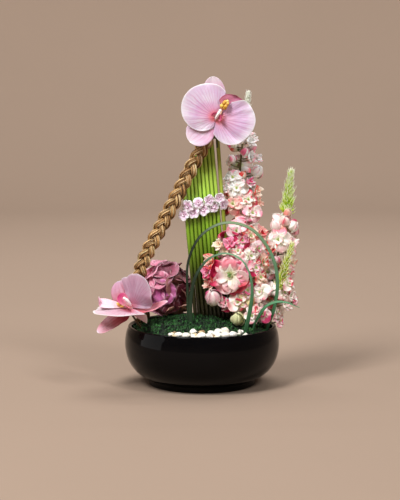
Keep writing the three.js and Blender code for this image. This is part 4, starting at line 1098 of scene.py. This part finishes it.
# Each blade: its half widths and its turns round its own line at even steps, and its route.
GRASS = [
    ("grass_outer_loop", [2, 1.9, 2.1, 2.5, 2.6, 2.2], [0.2, 0.35, 0.5, 0.4, 0.1, 0.3],
     [[-19, -33, 62], [-20, -33, 98], [-21, -33, 140], [-20, -34, 183], [-4, -38, 219], [20, -42, 237],
      [43, -45, 241], [70, -45, 232], [92, -42, 208], [105, -38, 178], [108, -34, 145], [103, -30, 112],
      [95, -26, 88], [90, -25, 62]]),
    ("grass_inner_loop", [3.6, 3, 1.9, 1.7, 3.2, 3.2], [0.1, 0.4, 0.9, 0.8, 0.4, 0.1],
     [[-13, -43, 62], [-16.5, -43, 98], [-16, -45, 135], [-8, -50, 167], [10, -57, 191], [34, -61, 199],
      [56, -64, 190], [68, -66, 168], [71, -66, 145], [68, -65, 118], [62, -63, 88], [59, -62, 62]]),
    ("grass_short_leaf", [1.2, 1.5, 2.3, 2.8, 2.2, 0.35], [0, 0, 0.2, 0.9, 1, 0.9],
     [[70, -48, 62], [74, -49, 92], [81, -52, 107], [91, -55, 122], [106, -58, 129], [122, -60, 128],
      [139, -61, 121]]),
]


def grass():
    """Keeled blades along their routes, in shade at the left."""
    share = np.linspace(0, 1, 110)
    across, keel = BLADE_SECTION[:, 0], BLADE_SECTION[:, 1]
    for name, widths, turns, route in GRASS:
        points = Curve(route).at(share)
        side, out = frames(points)
        half = np.interp(share, np.linspace(0, 1, len(widths)), widths)[:, None]
        turn = np.interp(share, np.linspace(0, 1, len(turns)), turns)[:, None]
        a, b = across * half, keel * np.maximum(half, 1.2)
        a, b = a * np.cos(turn) - b * np.sin(turn), a * np.sin(turn) + b * np.cos(turn)
        rings = points[:, None] + side[:, None] * a[..., None] + out[:, None] * b[..., None]
        spots = np.stack(np.broadcast_arrays(share[:, None], across, 0 * a), -1)
        form = wrapped(rings, spots, folded=False)
        shaded = np.clip((40 - form.points[:, 0]) / 50, 0, 1)[:, None]
        height = form.points[:, 2]
        form.tints = mix(blend_stops(BLADE_LIT, height), blend_stops(BLADE_SHADED, height), shaded)
        piece(f"{name}_blade", form, "grass", [name])


# ---- flower spikes ----
# tip: the green tip's start along the stem, its bracts, how far they reach and how thick its core is.
# buds and florets: their number, the part of the stem they fill, and their reach and size at its foot and
#     its top.
# swings: a turn round the stem for one of them, or None for one that is left out.
# rosette: its middle and the point on the stem that it grows from.
SPIKES = [
    {
        "name": "spike_tall", "radius": 2.1,
        "stem": [[52, 15, 40], [53, 15, 90], [56, 18, 208], [54.5, 20, 296], [60, 20, 362], [67.5, 20, 425]],
        "tip": {"start": 0.885, "bracts": 80, "reach": 10, "core": 2},
        "tip_stops": stops((0, 150, 170, 110), (0.4, 206, 214, 184), (1, 240, 242, 232)),
        "buds": (14, 0.67, 0.88, (13, 8), (8, 5.2)),
        "florets": (17, 0.2, 0.67, (23, 10), (21, 16)),
        "swings": {("open", 0): None, ("open", 1): -0.7, ("open", 4): 0.7, ("open", 7): 0.35},
    },
    {
        "name": "spike_right", "radius": 1.9,
        "stem": [[88, 12, 40], [91, 12, 92], [103, 14, 150], [112, 15, 195], [122, 15, 245],
                 [129.5, 15, 311]],
        "tip": {"start": 0.8, "bracts": 190, "reach": 15.5, "core": 5},
        "tip_stops": stops((0, 110, 156, 6), (0.3, 178, 220, 30), (0.6, 214, 242, 84), (0.92, 250, 255, 226)),
        "buds": (6, 0.7, 0.79, (12, 9), (8.5, 7)),
        "florets": (9, 0.26, 0.69, (19, 13), (21, 18)),
        "swings": {("open", 1): None, ("open", 2): 0.35, ("open", 4): -0.35},
    },
    {
        "name": "spike_low", "radius": 1.7,
        "stem": [[88, -17, 40], [93, -17, 92], [103, -15, 120], [113, -13, 148], [131, -11, 208]],
        "tip": {"start": 0.66, "bracts": 170, "reach": 15, "core": 4},
        "tip_stops": stops((0, 106, 140, 6), (0.3, 180, 210, 28), (0.6, 214, 230, 76), (0.95, 248, 250, 214)),
        "buds": (3, 0.6, 0.65, (9, 7), (7, 6)),
        "florets": (7, 0.26, 0.6, (19, 12), (18, 15)),
        "swings": {("open", 0): -0.7, ("open", 1): 0.35, ("open", 4): -0.7, ("open", 5): 0.35,
                   ("bud", 2): -0.35},
    },
    {
        "name": "spike_front", "radius": 1.9,
        "stem": [[48, -20, 40], [48, -20, 92], [47, -17, 160], [48, -12, 200], [50, -9, 238]],
        "tip": None,
        "buds": (3, 0.94, 1, (9, 4), (9, 8)),
        "florets": (9, 0.28, 0.94, (22, 15), (19, 17)),
        "swings": {("open", 0): 0.35, ("open", 5): 0.35, ("bud", 0): None, ("bud", 2): -0.7},
        "rosette": ([41.5, -36, 164], [47, -17, 163]),
    },
]


# Blooms placed one by one, as seen from the front: middle, size, kind and colours.
BLOOMS = {
    "spike_tall": [
        (43, 8, 328, 6, "bud", "blush"), (38, 12, 322, 4, "bud", "blush"), (51, 14, 329, 4, "bud", "blush"),
        (46, 10, 348, 5, "bud", "cream"), (40, 14, 347, 4, "bud", "pink"), (63, 6, 338, 7, "bud", "blush"),
        (57, 8, 355, 6, "bud", "blush"), (70, 6, 354, 11, "half", "white"),
        (73, 12, 344, 6, "bud", "white"), (71, 4, 331, 10, "half", "white"),
        (79, 10, 328, 8, "half", "white"), (79, 6, 310, 9, "bud", "white"),
        (82, 10, 306, 7, "bud", "white"), (59, 8, 304, 6, "bud", "salmon"), (68, 4, 293, 9, "half", "pink"),
        (78, 6, 281, 9, "half", "salmon"), (45, 6, 301, 12, "open", "white"),
        (38, 10, 298, 7, "half", "white"), (50, 2, 286, 13, "open", "white"),
        (38, 8, 284, 9, "half", "white"), (45, 2, 263, 16, "open", "red"), (66, 2, 269, 13, "open", "rose"),
        (72, 0, 250, 13, "open", "pink"), (61, 4, 241, 12, "open", "salmon"),
        (78, 12, 262, 10, "half", "salmon"), (36, 12, 271, 10, "half", "salmon"),
        (38, 10, 249, 10, "half", "salmon"), (71, 2, 228, 13, "open", "white"),
        (83, 4, 219, 12, "half", "red"),
    ],
    "spike_front": [
        (49, -26, 227, 13, "open", "hot"), (57, -30, 213, 12, "open", "magenta"),
        (41, -30, 209, 11, "half", "magenta"), (69, -22, 219, 13, "open", "salmon"),
        (26, -30, 207, 10, "half", "cream"), (34, -30, 198, 9, "half", "cream"),
        (51, -34, 199, 10, "open", "rose"), (69, -30, 191, 13, "open", "white"),
        (80, -24, 201, 11, "open", "pink"), (76, -30, 174, 12, "open", "hot"),
        (86, -22, 181, 12, "open", "salmon"), (83, -28, 160, 12, "open", "salmon"),
        (14, -26, 182, 12, "half", "salmon"), (10, -26, 168, 12, "half", "magenta"),
        (14, -24, 150, 12, "half", "salmon"), (17, -34, 131, 12, "bud", "stripe"),
        (33, -30, 123, 10, "half", "pink"), (51, -40, 125, 13, "open", "rose"),
        (63, -36, 128, 12, "open", "beige"), (51, -44, 102, 10, "bud", "green"),
        (70, -42, 106, 11, "open", "white"), (64, -34, 142, 13, "open", "pink"),
        (39, -24, 115, 10, "half", "hot"),
    ],
    "spike_right": [
        (107, 2, 231, 9, "bud", "white"), (124, 6, 250, 6, "bud", "cream"), (121, 0, 238, 8, "bud", "rose"),
        (132, 2, 230, 8, "bud", "white"), (134, 8, 222, 7, "bud", "pink"),
        (117, 4, 226, 7, "bud", "salmon"), (110, -6, 212, 15, "open", "white"),
        (128, 3, 206, 11, "half", "pink"), (101, 0, 200, 12, "half", "salmon"),
        (125, 6, 192, 12, "open", "rose"), (99, 0, 184, 12, "open", "white"),
        (108, -4, 182, 6, "bud", "pink"), (126, 0, 164, 10, "open", "rose"),
        (128, 10, 177, 9, "half", "cream"), (112, 8, 166, 12, "open", "salmon"),
        (96, 4, 163, 12, "open", "white"),
    ],
    "spike_low": [
        (125, -16, 148, 10, "open", "rose"), (127, -12, 129, 9, "half", "white"),
        (118, -16, 136, 11, "open", "rose"), (99, -18, 141, 11, "open", "white"),
        (84, -34, 139, 12, "open", "white"), (88, -32, 107, 11, "open", "pink"),
        (80, -38, 114, 10, "half", "rose"), (108, -15, 107, 10, "open", "white"),
        (112, -14, 94, 10, "open", "pink"), (99, -15, 124, 11, "open", "rose"),
        (119, -14, 118, 10, "half", "white"), (131, -10, 122, 8, "half", "pink"),
    ],
}

# Each tone: a petal's pale colour, its blush, and how deep the blush is.
TONES = {
    "white": (rgb(255, 250, 242), rgb(240, 136, 156), 0.75),
    "cream": (rgb(252, 240, 216), rgb(232, 130, 120), 0.7),
    "star": (rgb(255, 252, 242), rgb(240, 130, 130), 0.6),
    "pink": (rgb(255, 236, 236), rgb(238, 74, 134), 1.0),
    "rose": (rgb(255, 244, 236), rgb(228, 70, 96), 1.0),
    "salmon": (rgb(252, 222, 204), rgb(222, 66, 62), 1.0),
    "hot": (rgb(255, 226, 232), rgb(226, 20, 98), 1.2),
    "magenta": (rgb(252, 170, 204), rgb(202, 6, 82), 1.3),
    "red": (rgb(252, 200, 190), rgb(208, 34, 56), 1.2),
    "beige": (rgb(226, 206, 150), rgb(190, 140, 96), 0.7),
    "blush": (rgb(252, 228, 226), rgb(232, 104, 142), 0.8),
    "green": (rgb(228, 228, 180), rgb(190, 196, 130), 0.7),
    "stripe": (rgb(250, 242, 234), rgb(208, 40, 122), 1.0),
}
# The tones of the blooms that aren't placed one by one, and the greens at a petal's base.
COMMON = ["rose", "white", "hot", "salmon", "cream", "pink", "hot", "white"]
HEARTS = [rgb(140, 190, 110), rgb(206, 214, 150), rgb(170, 204, 130)]


def petal_colour(tone, n, heart=None):
    """A pale petal, greenish at its base, that turns to its blush along one side and at its end."""
    pale, blush, depth = TONES[tone]
    heart = pick(HEARTS, n, 62) if heart is None else heart
    lean = 2 * draw(n, 66) - 1
    depth = np.clip(depth * mix(0.5, 1.3, draw(n, 65)), 0, 1)
    full = depth > 0.8 and draw(n, 69) > 0.6
    shades = [(0, heart), (0.16, rgb(236, 236, 206)), (0.36, pale), (1, pale)]

    def colour(a, b):
        side = 0.5 + 0.5 * np.clip(lean * b * 1.6 + 0.4, -1, 1)
        share = ease((a - 0.34) / 0.3) * (0.06 + 0.94 * side**2) * depth
        if full:
            share = ease((a - 0.2) / 0.3) * depth
        share = share * (1 - 0.65 * np.clip((a - 0.86) / 0.12, 0, 1))
        return mix(blend_stops(shades, a), blush, share[:, None])

    return colour


LEAVES = {}


def leaf_of(length, broad, rise, curl, k, trough):
    """One petal of a small flower, made once for each size and bend."""
    key = (round(length, 1), broad, round(rise, 2), curl, trough)
    if key not in LEAVES:
        steps = (10, 8) if k == 0 else (8, 6)
        surface = spoon(key[0], broad * key[0], key[2], curl, trough, 0.62, 0.3, 0.015, k)
        LEAVES[key] = leaf(surface, *steps, 0.8)
    return LEAVES[key]


# Each layer of petals: their number, the first one's turn, their length for a size of 1, their half width
# over their length, and their rise, curl and trough.
OPEN_LAYERS = ((5, math.radians(36), 1.2, 0.5, 0.2, 0.34, 0.45), (3, 0.2, 0.72, 0.5, 0.85, 0.3, 0.5))
HALF_LAYERS = ((4, 0.2, 1.1, 0.66, 0.85, 0.3, 0.7), (3, 0.9, 0.8, 0.6, 1.25, 0.05, 0.7))


def floret(size, n, tone, half=False):
    """An open flower of broad petals round a green middle, or a half open one, facing +Z."""
    forms = []
    layers = HALF_LAYERS if half else OPEN_LAYERS
    for k, (count, first, length, broad, rise, curl, trough) in enumerate(layers):
        for i in range(count):
            number = 11 * n + 5 * k + i
            longer = 1 + 0.12 * round(2 * draw(number, 68) - 1)
            higher = 0.16 * round(2 * draw(number, 67) - 1)
            petal = leaf_of(length * size * longer, broad, rise + higher, curl, k, trough)
            turn = first + 2 * math.pi * i / count + 0.3 * (draw(number, 64) - 0.5)
            forms.append(petal.moved(spin(turn), [0, 0, 0.4 * k]).tinted(petal_colour(tone, number), number))
    if not half:
        for i in range(5):
            turn = i * GOLDEN + n
            foot = np.array([0.8 * math.cos(turn), 0.8 * math.sin(turn), 0.5])
            stamen = bar(foot, foot * 1.6 + [0, 0, 0.28 * size], 0.4, 4, 0.6, 2)
            forms.append(stamen.tinted(plain(rgb(186, 204, 110)), n))
    return joined(forms)


def bud(size, n, tone):
    """A closed bud of broad petals wrapped over one another."""
    forms = []
    for i in range(5):
        number = 7 * n + i
        start = i * 2 * math.pi * 0.4 + draw(n, 74)
        layer = size * (0.76 + 0.05 * i)

        def shell(u, v):
            height = -1.35 + 2.8 * u
            turn = start + v * (0.98 - 0.35 * u) + 0.6 * u
            flare = 1 + 0.14 * u**6 + 0.18 * np.abs(v) ** 3 * u
            flare = flare + 0.05 * np.sin(5 * v + number) - 0.1 * v * np.sin(3 * u)
            out = layer * flare * np.cos(height)
            up = 1.12 * layer * flare * np.sin(height)
            return np.stack([out * np.cos(turn), out * np.sin(turn), up], axis=-1)

        forms.append(leaf(shell, 10, 8, 0.7).tinted(petal_colour(tone, number, rgb(196, 206, 140)), number))
    pale, blush, _ = TONES[tone]
    return joined([ball(8, 10, 0.7 * size).tinted(plain(mix(pale, blush, 0.5)), n), *forms])


def bloom(kind, size, n, tone):
    return bud(size, n, tone) if kind == "bud" else floret(size, n, tone, kind == "half")


def stem_frame(curve, share, turn):
    along = curve.along(share)[0]
    side = np.array([math.cos(turn), math.sin(turn), 0])
    return curve.at(share)[0], along, unit(side - along * (side @ along))


def on_stalk(at, along, centre, direction, turn, form, size, n):
    """A flower in its place, with its stalk from the stem and its green cup."""
    heading = unit(direction)
    bend = Curve([at, mix(at, centre, 0.5) - along * 1.2, centre - heading * 1.0])
    stalk = swept(bend.at(np.linspace(0, 1, 7)), np.linspace(1.0, 0.8, 7), 6, reference=along)
    behind, girth = (0.95 * size, 0.4 * size) if size < 9 else (3.2, 0.2 * size)
    cup = bar(centre - heading * behind, centre + heading * 0.2, 0.9, 8, girth)
    green = plain(mix(rgb(104, 128, 62), rgb(146, 112, 84), draw(n, 81)))
    return form.moved(facing(direction, turn), centre), joined([stalk.tinted(green, n), cup.tinted(green, n)])


SPIKE_STEM = stops((0, 60, 84, 36), (0.5, 96, 116, 56), (1, 120, 112, 70))
# Where painted light starts on the blooms, and over how much height it grows.
LIGHT_PAINTED_FROM, LIGHT_PAINTED_OVER = 255, 50


def spike(flower, series):
    """A stem with the blooms seen from the front, and others of the same kinds where there is room."""
    name, curve, tip = flower["name"], Curve(flower["stem"]), flower["tip"]
    top = tip["start"] if tip else 1.0
    share = np.linspace(0, top, 60)
    stem = swept(curve.at(share), flower["radius"] * (1 - 0.4 * share), 10)
    greens = [stem.tinted(graded(SPIKE_STEM), series)]
    flowers, taken = [], []

    def put(at, along, centre, direction, turn, kind, size, tone, n):
        made = on_stalk(at, along, centre, direction, turn, bloom(kind, size, n, tone), size, n)
        flowers.append(made[0])
        greens.append(made[1])
        taken.append((np.array(centre), size))

    stem_points = curve.at(np.linspace(0.12, top, 80))
    stem_along = curve.along(np.linspace(0.12, top, 80))
    for k, (x, y, z, size, kind, tone) in enumerate(BLOOMS[name]):
        centre = np.array([x, y, z], float)
        away = np.linalg.norm((stem_points - centre) * [1, 1, 1.4] + [0, 0, 8], axis=1)
        i = int(np.argmin(away))
        direction = unit(centre - stem_points[i]) + np.array([0, -0.9, 0.15])
        if kind == "bud":
            direction = unit(direction) + np.array([0.5 * (draw(k, 75) - 0.5), 0, 0.9])
        put(stem_points[i], stem_along[i], centre, direction, k * GOLDEN, kind, size, tone, series + 60 + k)
    for kind, key, start, rise, first in (("open", "florets", 1, 0.12, 0), ("bud", "buds", 2, 0.45, 40)):
        count, low, high, reach, size = flower[key]
        for k in range(count):
            part = (k + 0.5) / count
            swing = flower["swings"].get((kind, k), 0)
            if swing is None:
                continue
            turn = k * GOLDEN + start
            at, along, side = stem_frame(curve, mix(low, high, part), turn + swing)
            direction = side + along * rise
            centre = at + direction * mix(*reach, part)
            width = mix(*size, part)
            if any(np.linalg.norm(centre - other) < 0.75 * (width + girth) for other, girth in taken):
                continue
            tone = COMMON[(series + k) % len(COMMON)]
            put(at, along, centre, direction, turn, kind, width, tone, series + first + k)
    if "rosette" in flower:
        middle, root = flower["rosette"]
        flowers.append(rosette(middle, root))
        greens.append(bar(root, middle, 1.4, 8).tinted(plain(rgb(96, 116, 56)), 1))
    blossom = joined(flowers)
    # painted light: blooms are paler the higher they stand above the start height, most of all on the tall
    # spike, where the top orchid shades them
    light_painted = np.clip((blossom.points[:, 2] - LIGHT_PAINTED_FROM) / LIGHT_PAINTED_OVER, 0, 1)[:, None]
    blossom.tints = np.minimum(blossom.tints * (1 + 0.35 * light_painted), 0.98)
    piece(f"{name}_flowers", blossom, "floret", [name])
    piece(f"{name}_stalks", joined(greens), "stalk", [name])
    if tip:
        green_tip(name, curve, tip, flower["tip_stops"], series)


# Each layer: its petals, their length, half width over length, rise and curl, its height, shade and tones.
ROSETTE_LAYERS = (
    (7, 34, 0.54, 0.16, 0.2, 0, [0.86, 0.66, 0.7],
     ["magenta", "pink", "white", "hot", "white", "magenta", "rose"]),
    (6, 28, 0.42, 0.36, 0.3, 1.5, [0.86, 0.66, 0.7], ["hot", "white", "rose"]),
    (6, 25, 0.36, 0.24, 0.3, 5, [0.95, 0.9, 0.88], ["rose", "star", "pink"]),
    (3, 9, 0.5, 1.05, 0.2, 5, [0.95, 0.9, 0.88], ["green", "white"]),
)


def rosette(at, start):
    """The large flower at the front: a green middle, broad petals, and a ruff of pink and magenta ones."""
    middle = np.array(at, float)
    direction = unit(middle - np.array(start, float) + [0, 0, 2])
    forms = []
    for k, (count, length, broad, rise, curl, lift, shade, tones) in enumerate(ROSETTE_LAYERS):
        for i in range(count):
            number = 40 * k + i
            grown = length * mix(0.8, 1.06, draw(number, 77))
            risen = rise + 0.25 * (draw(number, 78) - 0.5)
            surface = spoon(grown, broad * grown, risen, curl, 0.35, 0.64, 0.28, 0.03, number)
            turn = 0.45 * k + 2 * math.pi * i / count + 0.5 * (draw(number, 79) - 0.5)
            petal = leaf(surface, 14, 12, 0.8).moved(spin(turn), [0, 0, lift])
            petal = petal.tinted(petal_colour(tones[i % len(tones)], number), number)
            petal.tints = petal.tints * shade
            forms.append(petal)
    for k in range(9):
        turn = k * GOLDEN
        out = 2.4 * math.sqrt(k / 9)
        foot = np.array([out * math.cos(turn), out * math.sin(turn), 6])
        stamen = bar(foot, foot + [0.5 * foot[0], 0.5 * foot[1], 6], 0.5, 5, 0.8)
        forms.append(stamen.tinted(plain(rgb(150, 190, 110)), 1))
    return joined(forms).moved(facing(direction), middle)


def green_tip(name, curve, tip, shades, series):
    """The bristly end of a spike: narrow bracts that stand out round the stem and end in pale hairs."""
    start, count = tip["start"], tip["bracts"]
    share = np.linspace(start, 1, 24)
    girth = 0.9 + (tip["core"] - 1.0) * (1 - share) / (1 - start)
    forms = [swept(curve.at(share), girth, 10).tinted(lambda a, b: blend_stops(shades, 0.3 * a), series)]
    for k in range(count):
        part = (k + 0.5) / count
        at, up, side = stem_frame(curve, mix(start + 0.005, 0.995, part), k * GOLDEN)
        size = tip["reach"] * (1 - 0.6 * part) * mix(0.6, 1.05, draw(k, series + 91))
        lean = mix(0.35, 1.15, draw(k, series + 92)) + 0.6 * part
        line = Curve([at + side * 0.4, at + side * 0.6 * size + up * 0.35 * size * lean,
                      at + side * 0.88 * size + up * 0.95 * size * lean])
        width = mix(2.0, 1.1, part) * np.array([0.7, 1, 1, 0.8, 0.5, 0.2, 0.1])
        bract = swept(line.at(np.array([0, 0.16, 0.34, 0.5, 0.66, 0.84, 1])), width, 5, 0.6, reference=side)
        pale = mix(0.0, 0.3, part) + 0.2 * (draw(k, series + 93) - 0.5)
        forms.append(bract.tinted(lambda a, b: blend_stops(shades, np.clip(a + pale, 0, 1)), k))
    piece(f"{name}_bracts", joined(forms), "bract", [f"{name}_tip"])


# ---- hydrangea ----
HYDRANGEA = {
    "middle": [-52, 17, 137], "tall": 1.16, "core": 23, "florets": 27, "size": 20.5,
    "foot": [-42, 14, 50],
}


def hydrangea_colours(direction, k):
    """A floret's colour and its edge: burgundy at the right as painted shade, mauve with paler edges at the
    left as painted light, some salmon and violet.
    """
    light_from_left = np.clip(0.5 - direction[0] * 0.8 + 0.3 * (draw(k, 102) - 0.5), 0, 1)
    low = np.clip(0.3 - direction[2] * 0.9 + 0.5 * direction[0], 0, 1)
    violet = (direction[0] < 0.1) * (direction[2] < 0.1) * (draw(k, 108) > 0.5)
    base = mix(rgb(98, 12, 40), rgb(232, 134, 166), light_from_left**1.4)
    base = mix(base, rgb(255, 190, 168), 0.85 * low * (draw(k, 103) > 0.3))
    base = mix(base, rgb(204, 92, 168), 0.8 * violet)
    return base, mix(base, rgb(248, 214, 226), 0.1 + 0.5 * light_from_left)


def hydrangea_floret(base, edge, k):
    """Four petals round an eye, facing +Z."""
    size = HYDRANGEA["size"] * (0.8 + 0.35 * draw(k, 7))
    shades = [(0, base * 0.45), (0.3, base), (0.88, mix(base, edge, 0.3)), (1, edge)]

    def colour(a, b):
        veins = 0.9 + 0.1 * np.cos(24 * b)
        return blend_stops(shades, np.maximum(a, np.abs(b) ** 9 * (a > 0.15))) * veins[:, None]

    forms = []
    for i in range(4):
        folded = draw(10 * k + i, 109)
        rise, curl = 0.1 + 0.5 * folded, 0.1 + 0.2 * folded
        surface = spoon(size, 0.66 * size, rise, curl, 0.25, 0.56, 0.3, 0.05, 3 * k + i)
        petal = leaf(surface, 10, 8, 0.6).tinted(colour, 5 * k + i)
        forms.append(petal.moved(spin(math.pi / 4 + i * math.pi / 2), [0, 0, 0]))
    eye = ball(6, 8, 1.3).moved(np.eye(3), [0, 0, 0.9])
    return joined([*forms, eye.tinted(plain(mix(base, rgb(230, 190, 200), 0.5)), k)])


def hydrangea():
    """A round head of four-lobed florets round a dark core that stands for the shade inside the head, on its
    stem.
    """
    middle = np.array(HYDRANGEA["middle"], float)
    stretch = np.array([1, 1, HYDRANGEA["tall"]])
    core = ball(16, 24, lambda turn, z: HYDRANGEA["core"] * (1 + 0.03 * np.sin(7 * turn) * np.cos(6 * z)))
    # the dark core is painted shade showing between the florets
    forms = [core.moved(np.diag(stretch), middle).tinted(plain(rgb(70, 28, 46)), 0)]
    greens = [bar(HYDRANGEA["foot"], middle, 2.4, 10, rows=8).tinted(plain(rgb(70, 92, 44)), 0)]
    for k in range(HYDRANGEA["florets"]):
        z = 1 - 1.86 * (k + 0.5) / HYDRANGEA["florets"]
        flat = math.sqrt(1 - z * z)
        direction = np.array([flat * math.cos(k * GOLDEN), flat * math.sin(k * GOLDEN), z])
        at = middle + direction * stretch * mix(21, 30, draw(k, 101))
        tilt = np.array([draw(k, 105) - 0.5, draw(k, 106) - 0.5, draw(k, 107) - 0.5])
        made = hydrangea_floret(*hydrangea_colours(direction, k), k)
        forms.append(made.moved(facing(direction + 0.9 * tilt, k), at))
        greens.append(bar(middle + direction * stretch * 18, at, 0.8, 5).tinted(plain(rgb(108, 96, 60)), k))
    piece("hydrangea_head", joined(forms), "hydrangea", ["hydrangea"])
    piece("hydrangea_stalks", joined(greens), "stalk", ["hydrangea"])


# ---- CAD nodes that stay ----
def kept_nodes():
    """Looks for the foam and the tie band, which stay as the CAD has them."""
    for name, look in (("foam_block", "foam"), ("tie_band", "tape")):
        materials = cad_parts[name].data.materials
        materials.clear()
        materials.append(LOOKS[look])


# ---- floor, light and camera ----
FLOOR = {"flat": 2.4, "bend": 1.1, "wall": 2.6, "columns": 96}
# Each light: name, place, target, size, power and colour.
LIGHTS = [
    ("key", (-1.1, -1.5, 2.2), (0, 0, 0.2), (0.7, 1.1), 84, (1, 0.985, 0.97)),
    ("top", (0.3, 0.3, 2.6), (0, 0, 0.2), (1.2, 1.2), 24, (1, 1, 1)),
    ("right", (1.3, -1.6, 2.0), (0, 0, 0.25), (0.4, 0.9), 34, (1, 1, 1)),
    ("left", (-1.9, -0.3, 0.35), (0, 0, 0.1), (1.4, 1.3), 5, (1, 1, 1)),
    ("wall", (0, 1.2, 2.6), (0, 3.2, 0.6), (2.4, 0.8), 76, (1, 1, 1)),
]
WORLD = {"colour": (0.42, 0.38, 0.35, 1), "strength": 0.22}
CAMERA = {"target": (-0.003, 0, 0.196), "distance": 2.54, "pitch": 7.4, "lens": 126, "sensor": 36}


def floor():
    """A round studio floor that curves up into a wall."""
    flat, bend, columns = FLOOR["flat"], FLOOR["bend"], FLOOR["columns"]
    rise = np.linspace(0, math.pi / 2, 16)[1:]
    profile = [[0.001, 0], [1, 0], [flat, 0], *zip(flat + bend * np.sin(rise), bend - bend * np.cos(rise)),
               [flat + bend, FLOOR["wall"]]]
    turn = 2 * math.pi * np.arange(columns) / columns
    points = [(r * math.cos(t), r * math.sin(t), z) for r, z in profile for t in turn]
    faces = []
    for i in range(len(profile) - 1):
        low, high = columns * i, columns * (i + 1)
        for j in range(columns):
            after = (j + 1) % columns
            faces.append((low + j, low + after, high + after, high + j))
    mesh = bpy.data.meshes.new("floor")
    mesh.from_pydata(points, [], faces)
    mesh.polygons.foreach_set("use_smooth", [True] * len(faces))
    made = bpy.data.objects.new("floor", mesh)
    bpy.context.scene.collection.objects.link(made)
    look = Look("floor", Roughness=0.95, Specular_IOR_Level=0.1)
    look.colour(look.mixed(look.noise(2.0), rgb(144, 126, 111), rgb(148, 129, 114)))
    mesh.materials.append(look.material)


def area_light(name, at, target, size, power, colour):
    data = bpy.data.lights.new(name, "AREA")
    data.shape = "RECTANGLE"
    data.size, data.size_y = size
    data.energy = power
    data.color = colour
    made = bpy.data.objects.new(name, data)
    made.location = at
    made.visible_camera = False
    made.rotation_euler = (Vector(target) - Vector(at)).to_track_quat("-Z", "Y").to_euler()
    bpy.context.scene.collection.objects.link(made)


def camera():
    """A long lens, from the front and a little above."""
    data = bpy.data.cameras.new("camera")
    data.lens, data.sensor_width = CAMERA["lens"], CAMERA["sensor"]
    data.clip_start, data.clip_end = 0.1, 20
    made = bpy.data.objects.new("camera", data)
    pitch = math.radians(CAMERA["pitch"])
    away = Vector((0, math.cos(pitch), -math.sin(pitch)))
    made.location = Vector(CAMERA["target"]) - CAMERA["distance"] * away
    made.rotation_euler = (math.pi / 2 - pitch, 0, 0)
    bpy.context.scene.collection.objects.link(made)
    bpy.context.scene.camera = made


def stage():
    """The floor, the lights, the world's own light and the camera."""
    floor()
    for light in LIGHTS:
        area_light(*light)
    world = bpy.data.worlds.new("studio")
    bpy.context.scene.world = world
    world.use_nodes = True
    background = world.node_tree.nodes["Background"]
    background.inputs[0].default_value = WORLD["colour"]
    background.inputs[1].default_value = WORLD["strength"]
    camera()
    bpy.context.scene.view_settings.view_transform = "Standard"


bowl()
moss()
pebbles()
reeds()
plait()
garland()
for number, flower in enumerate(ORCHIDS):
    orchid(flower, 7 * number + 1)
grass()
for number, flower in enumerate(SPIKES):
    spike(flower, 100 * number)
hydrangea()
kept_nodes()
stage()
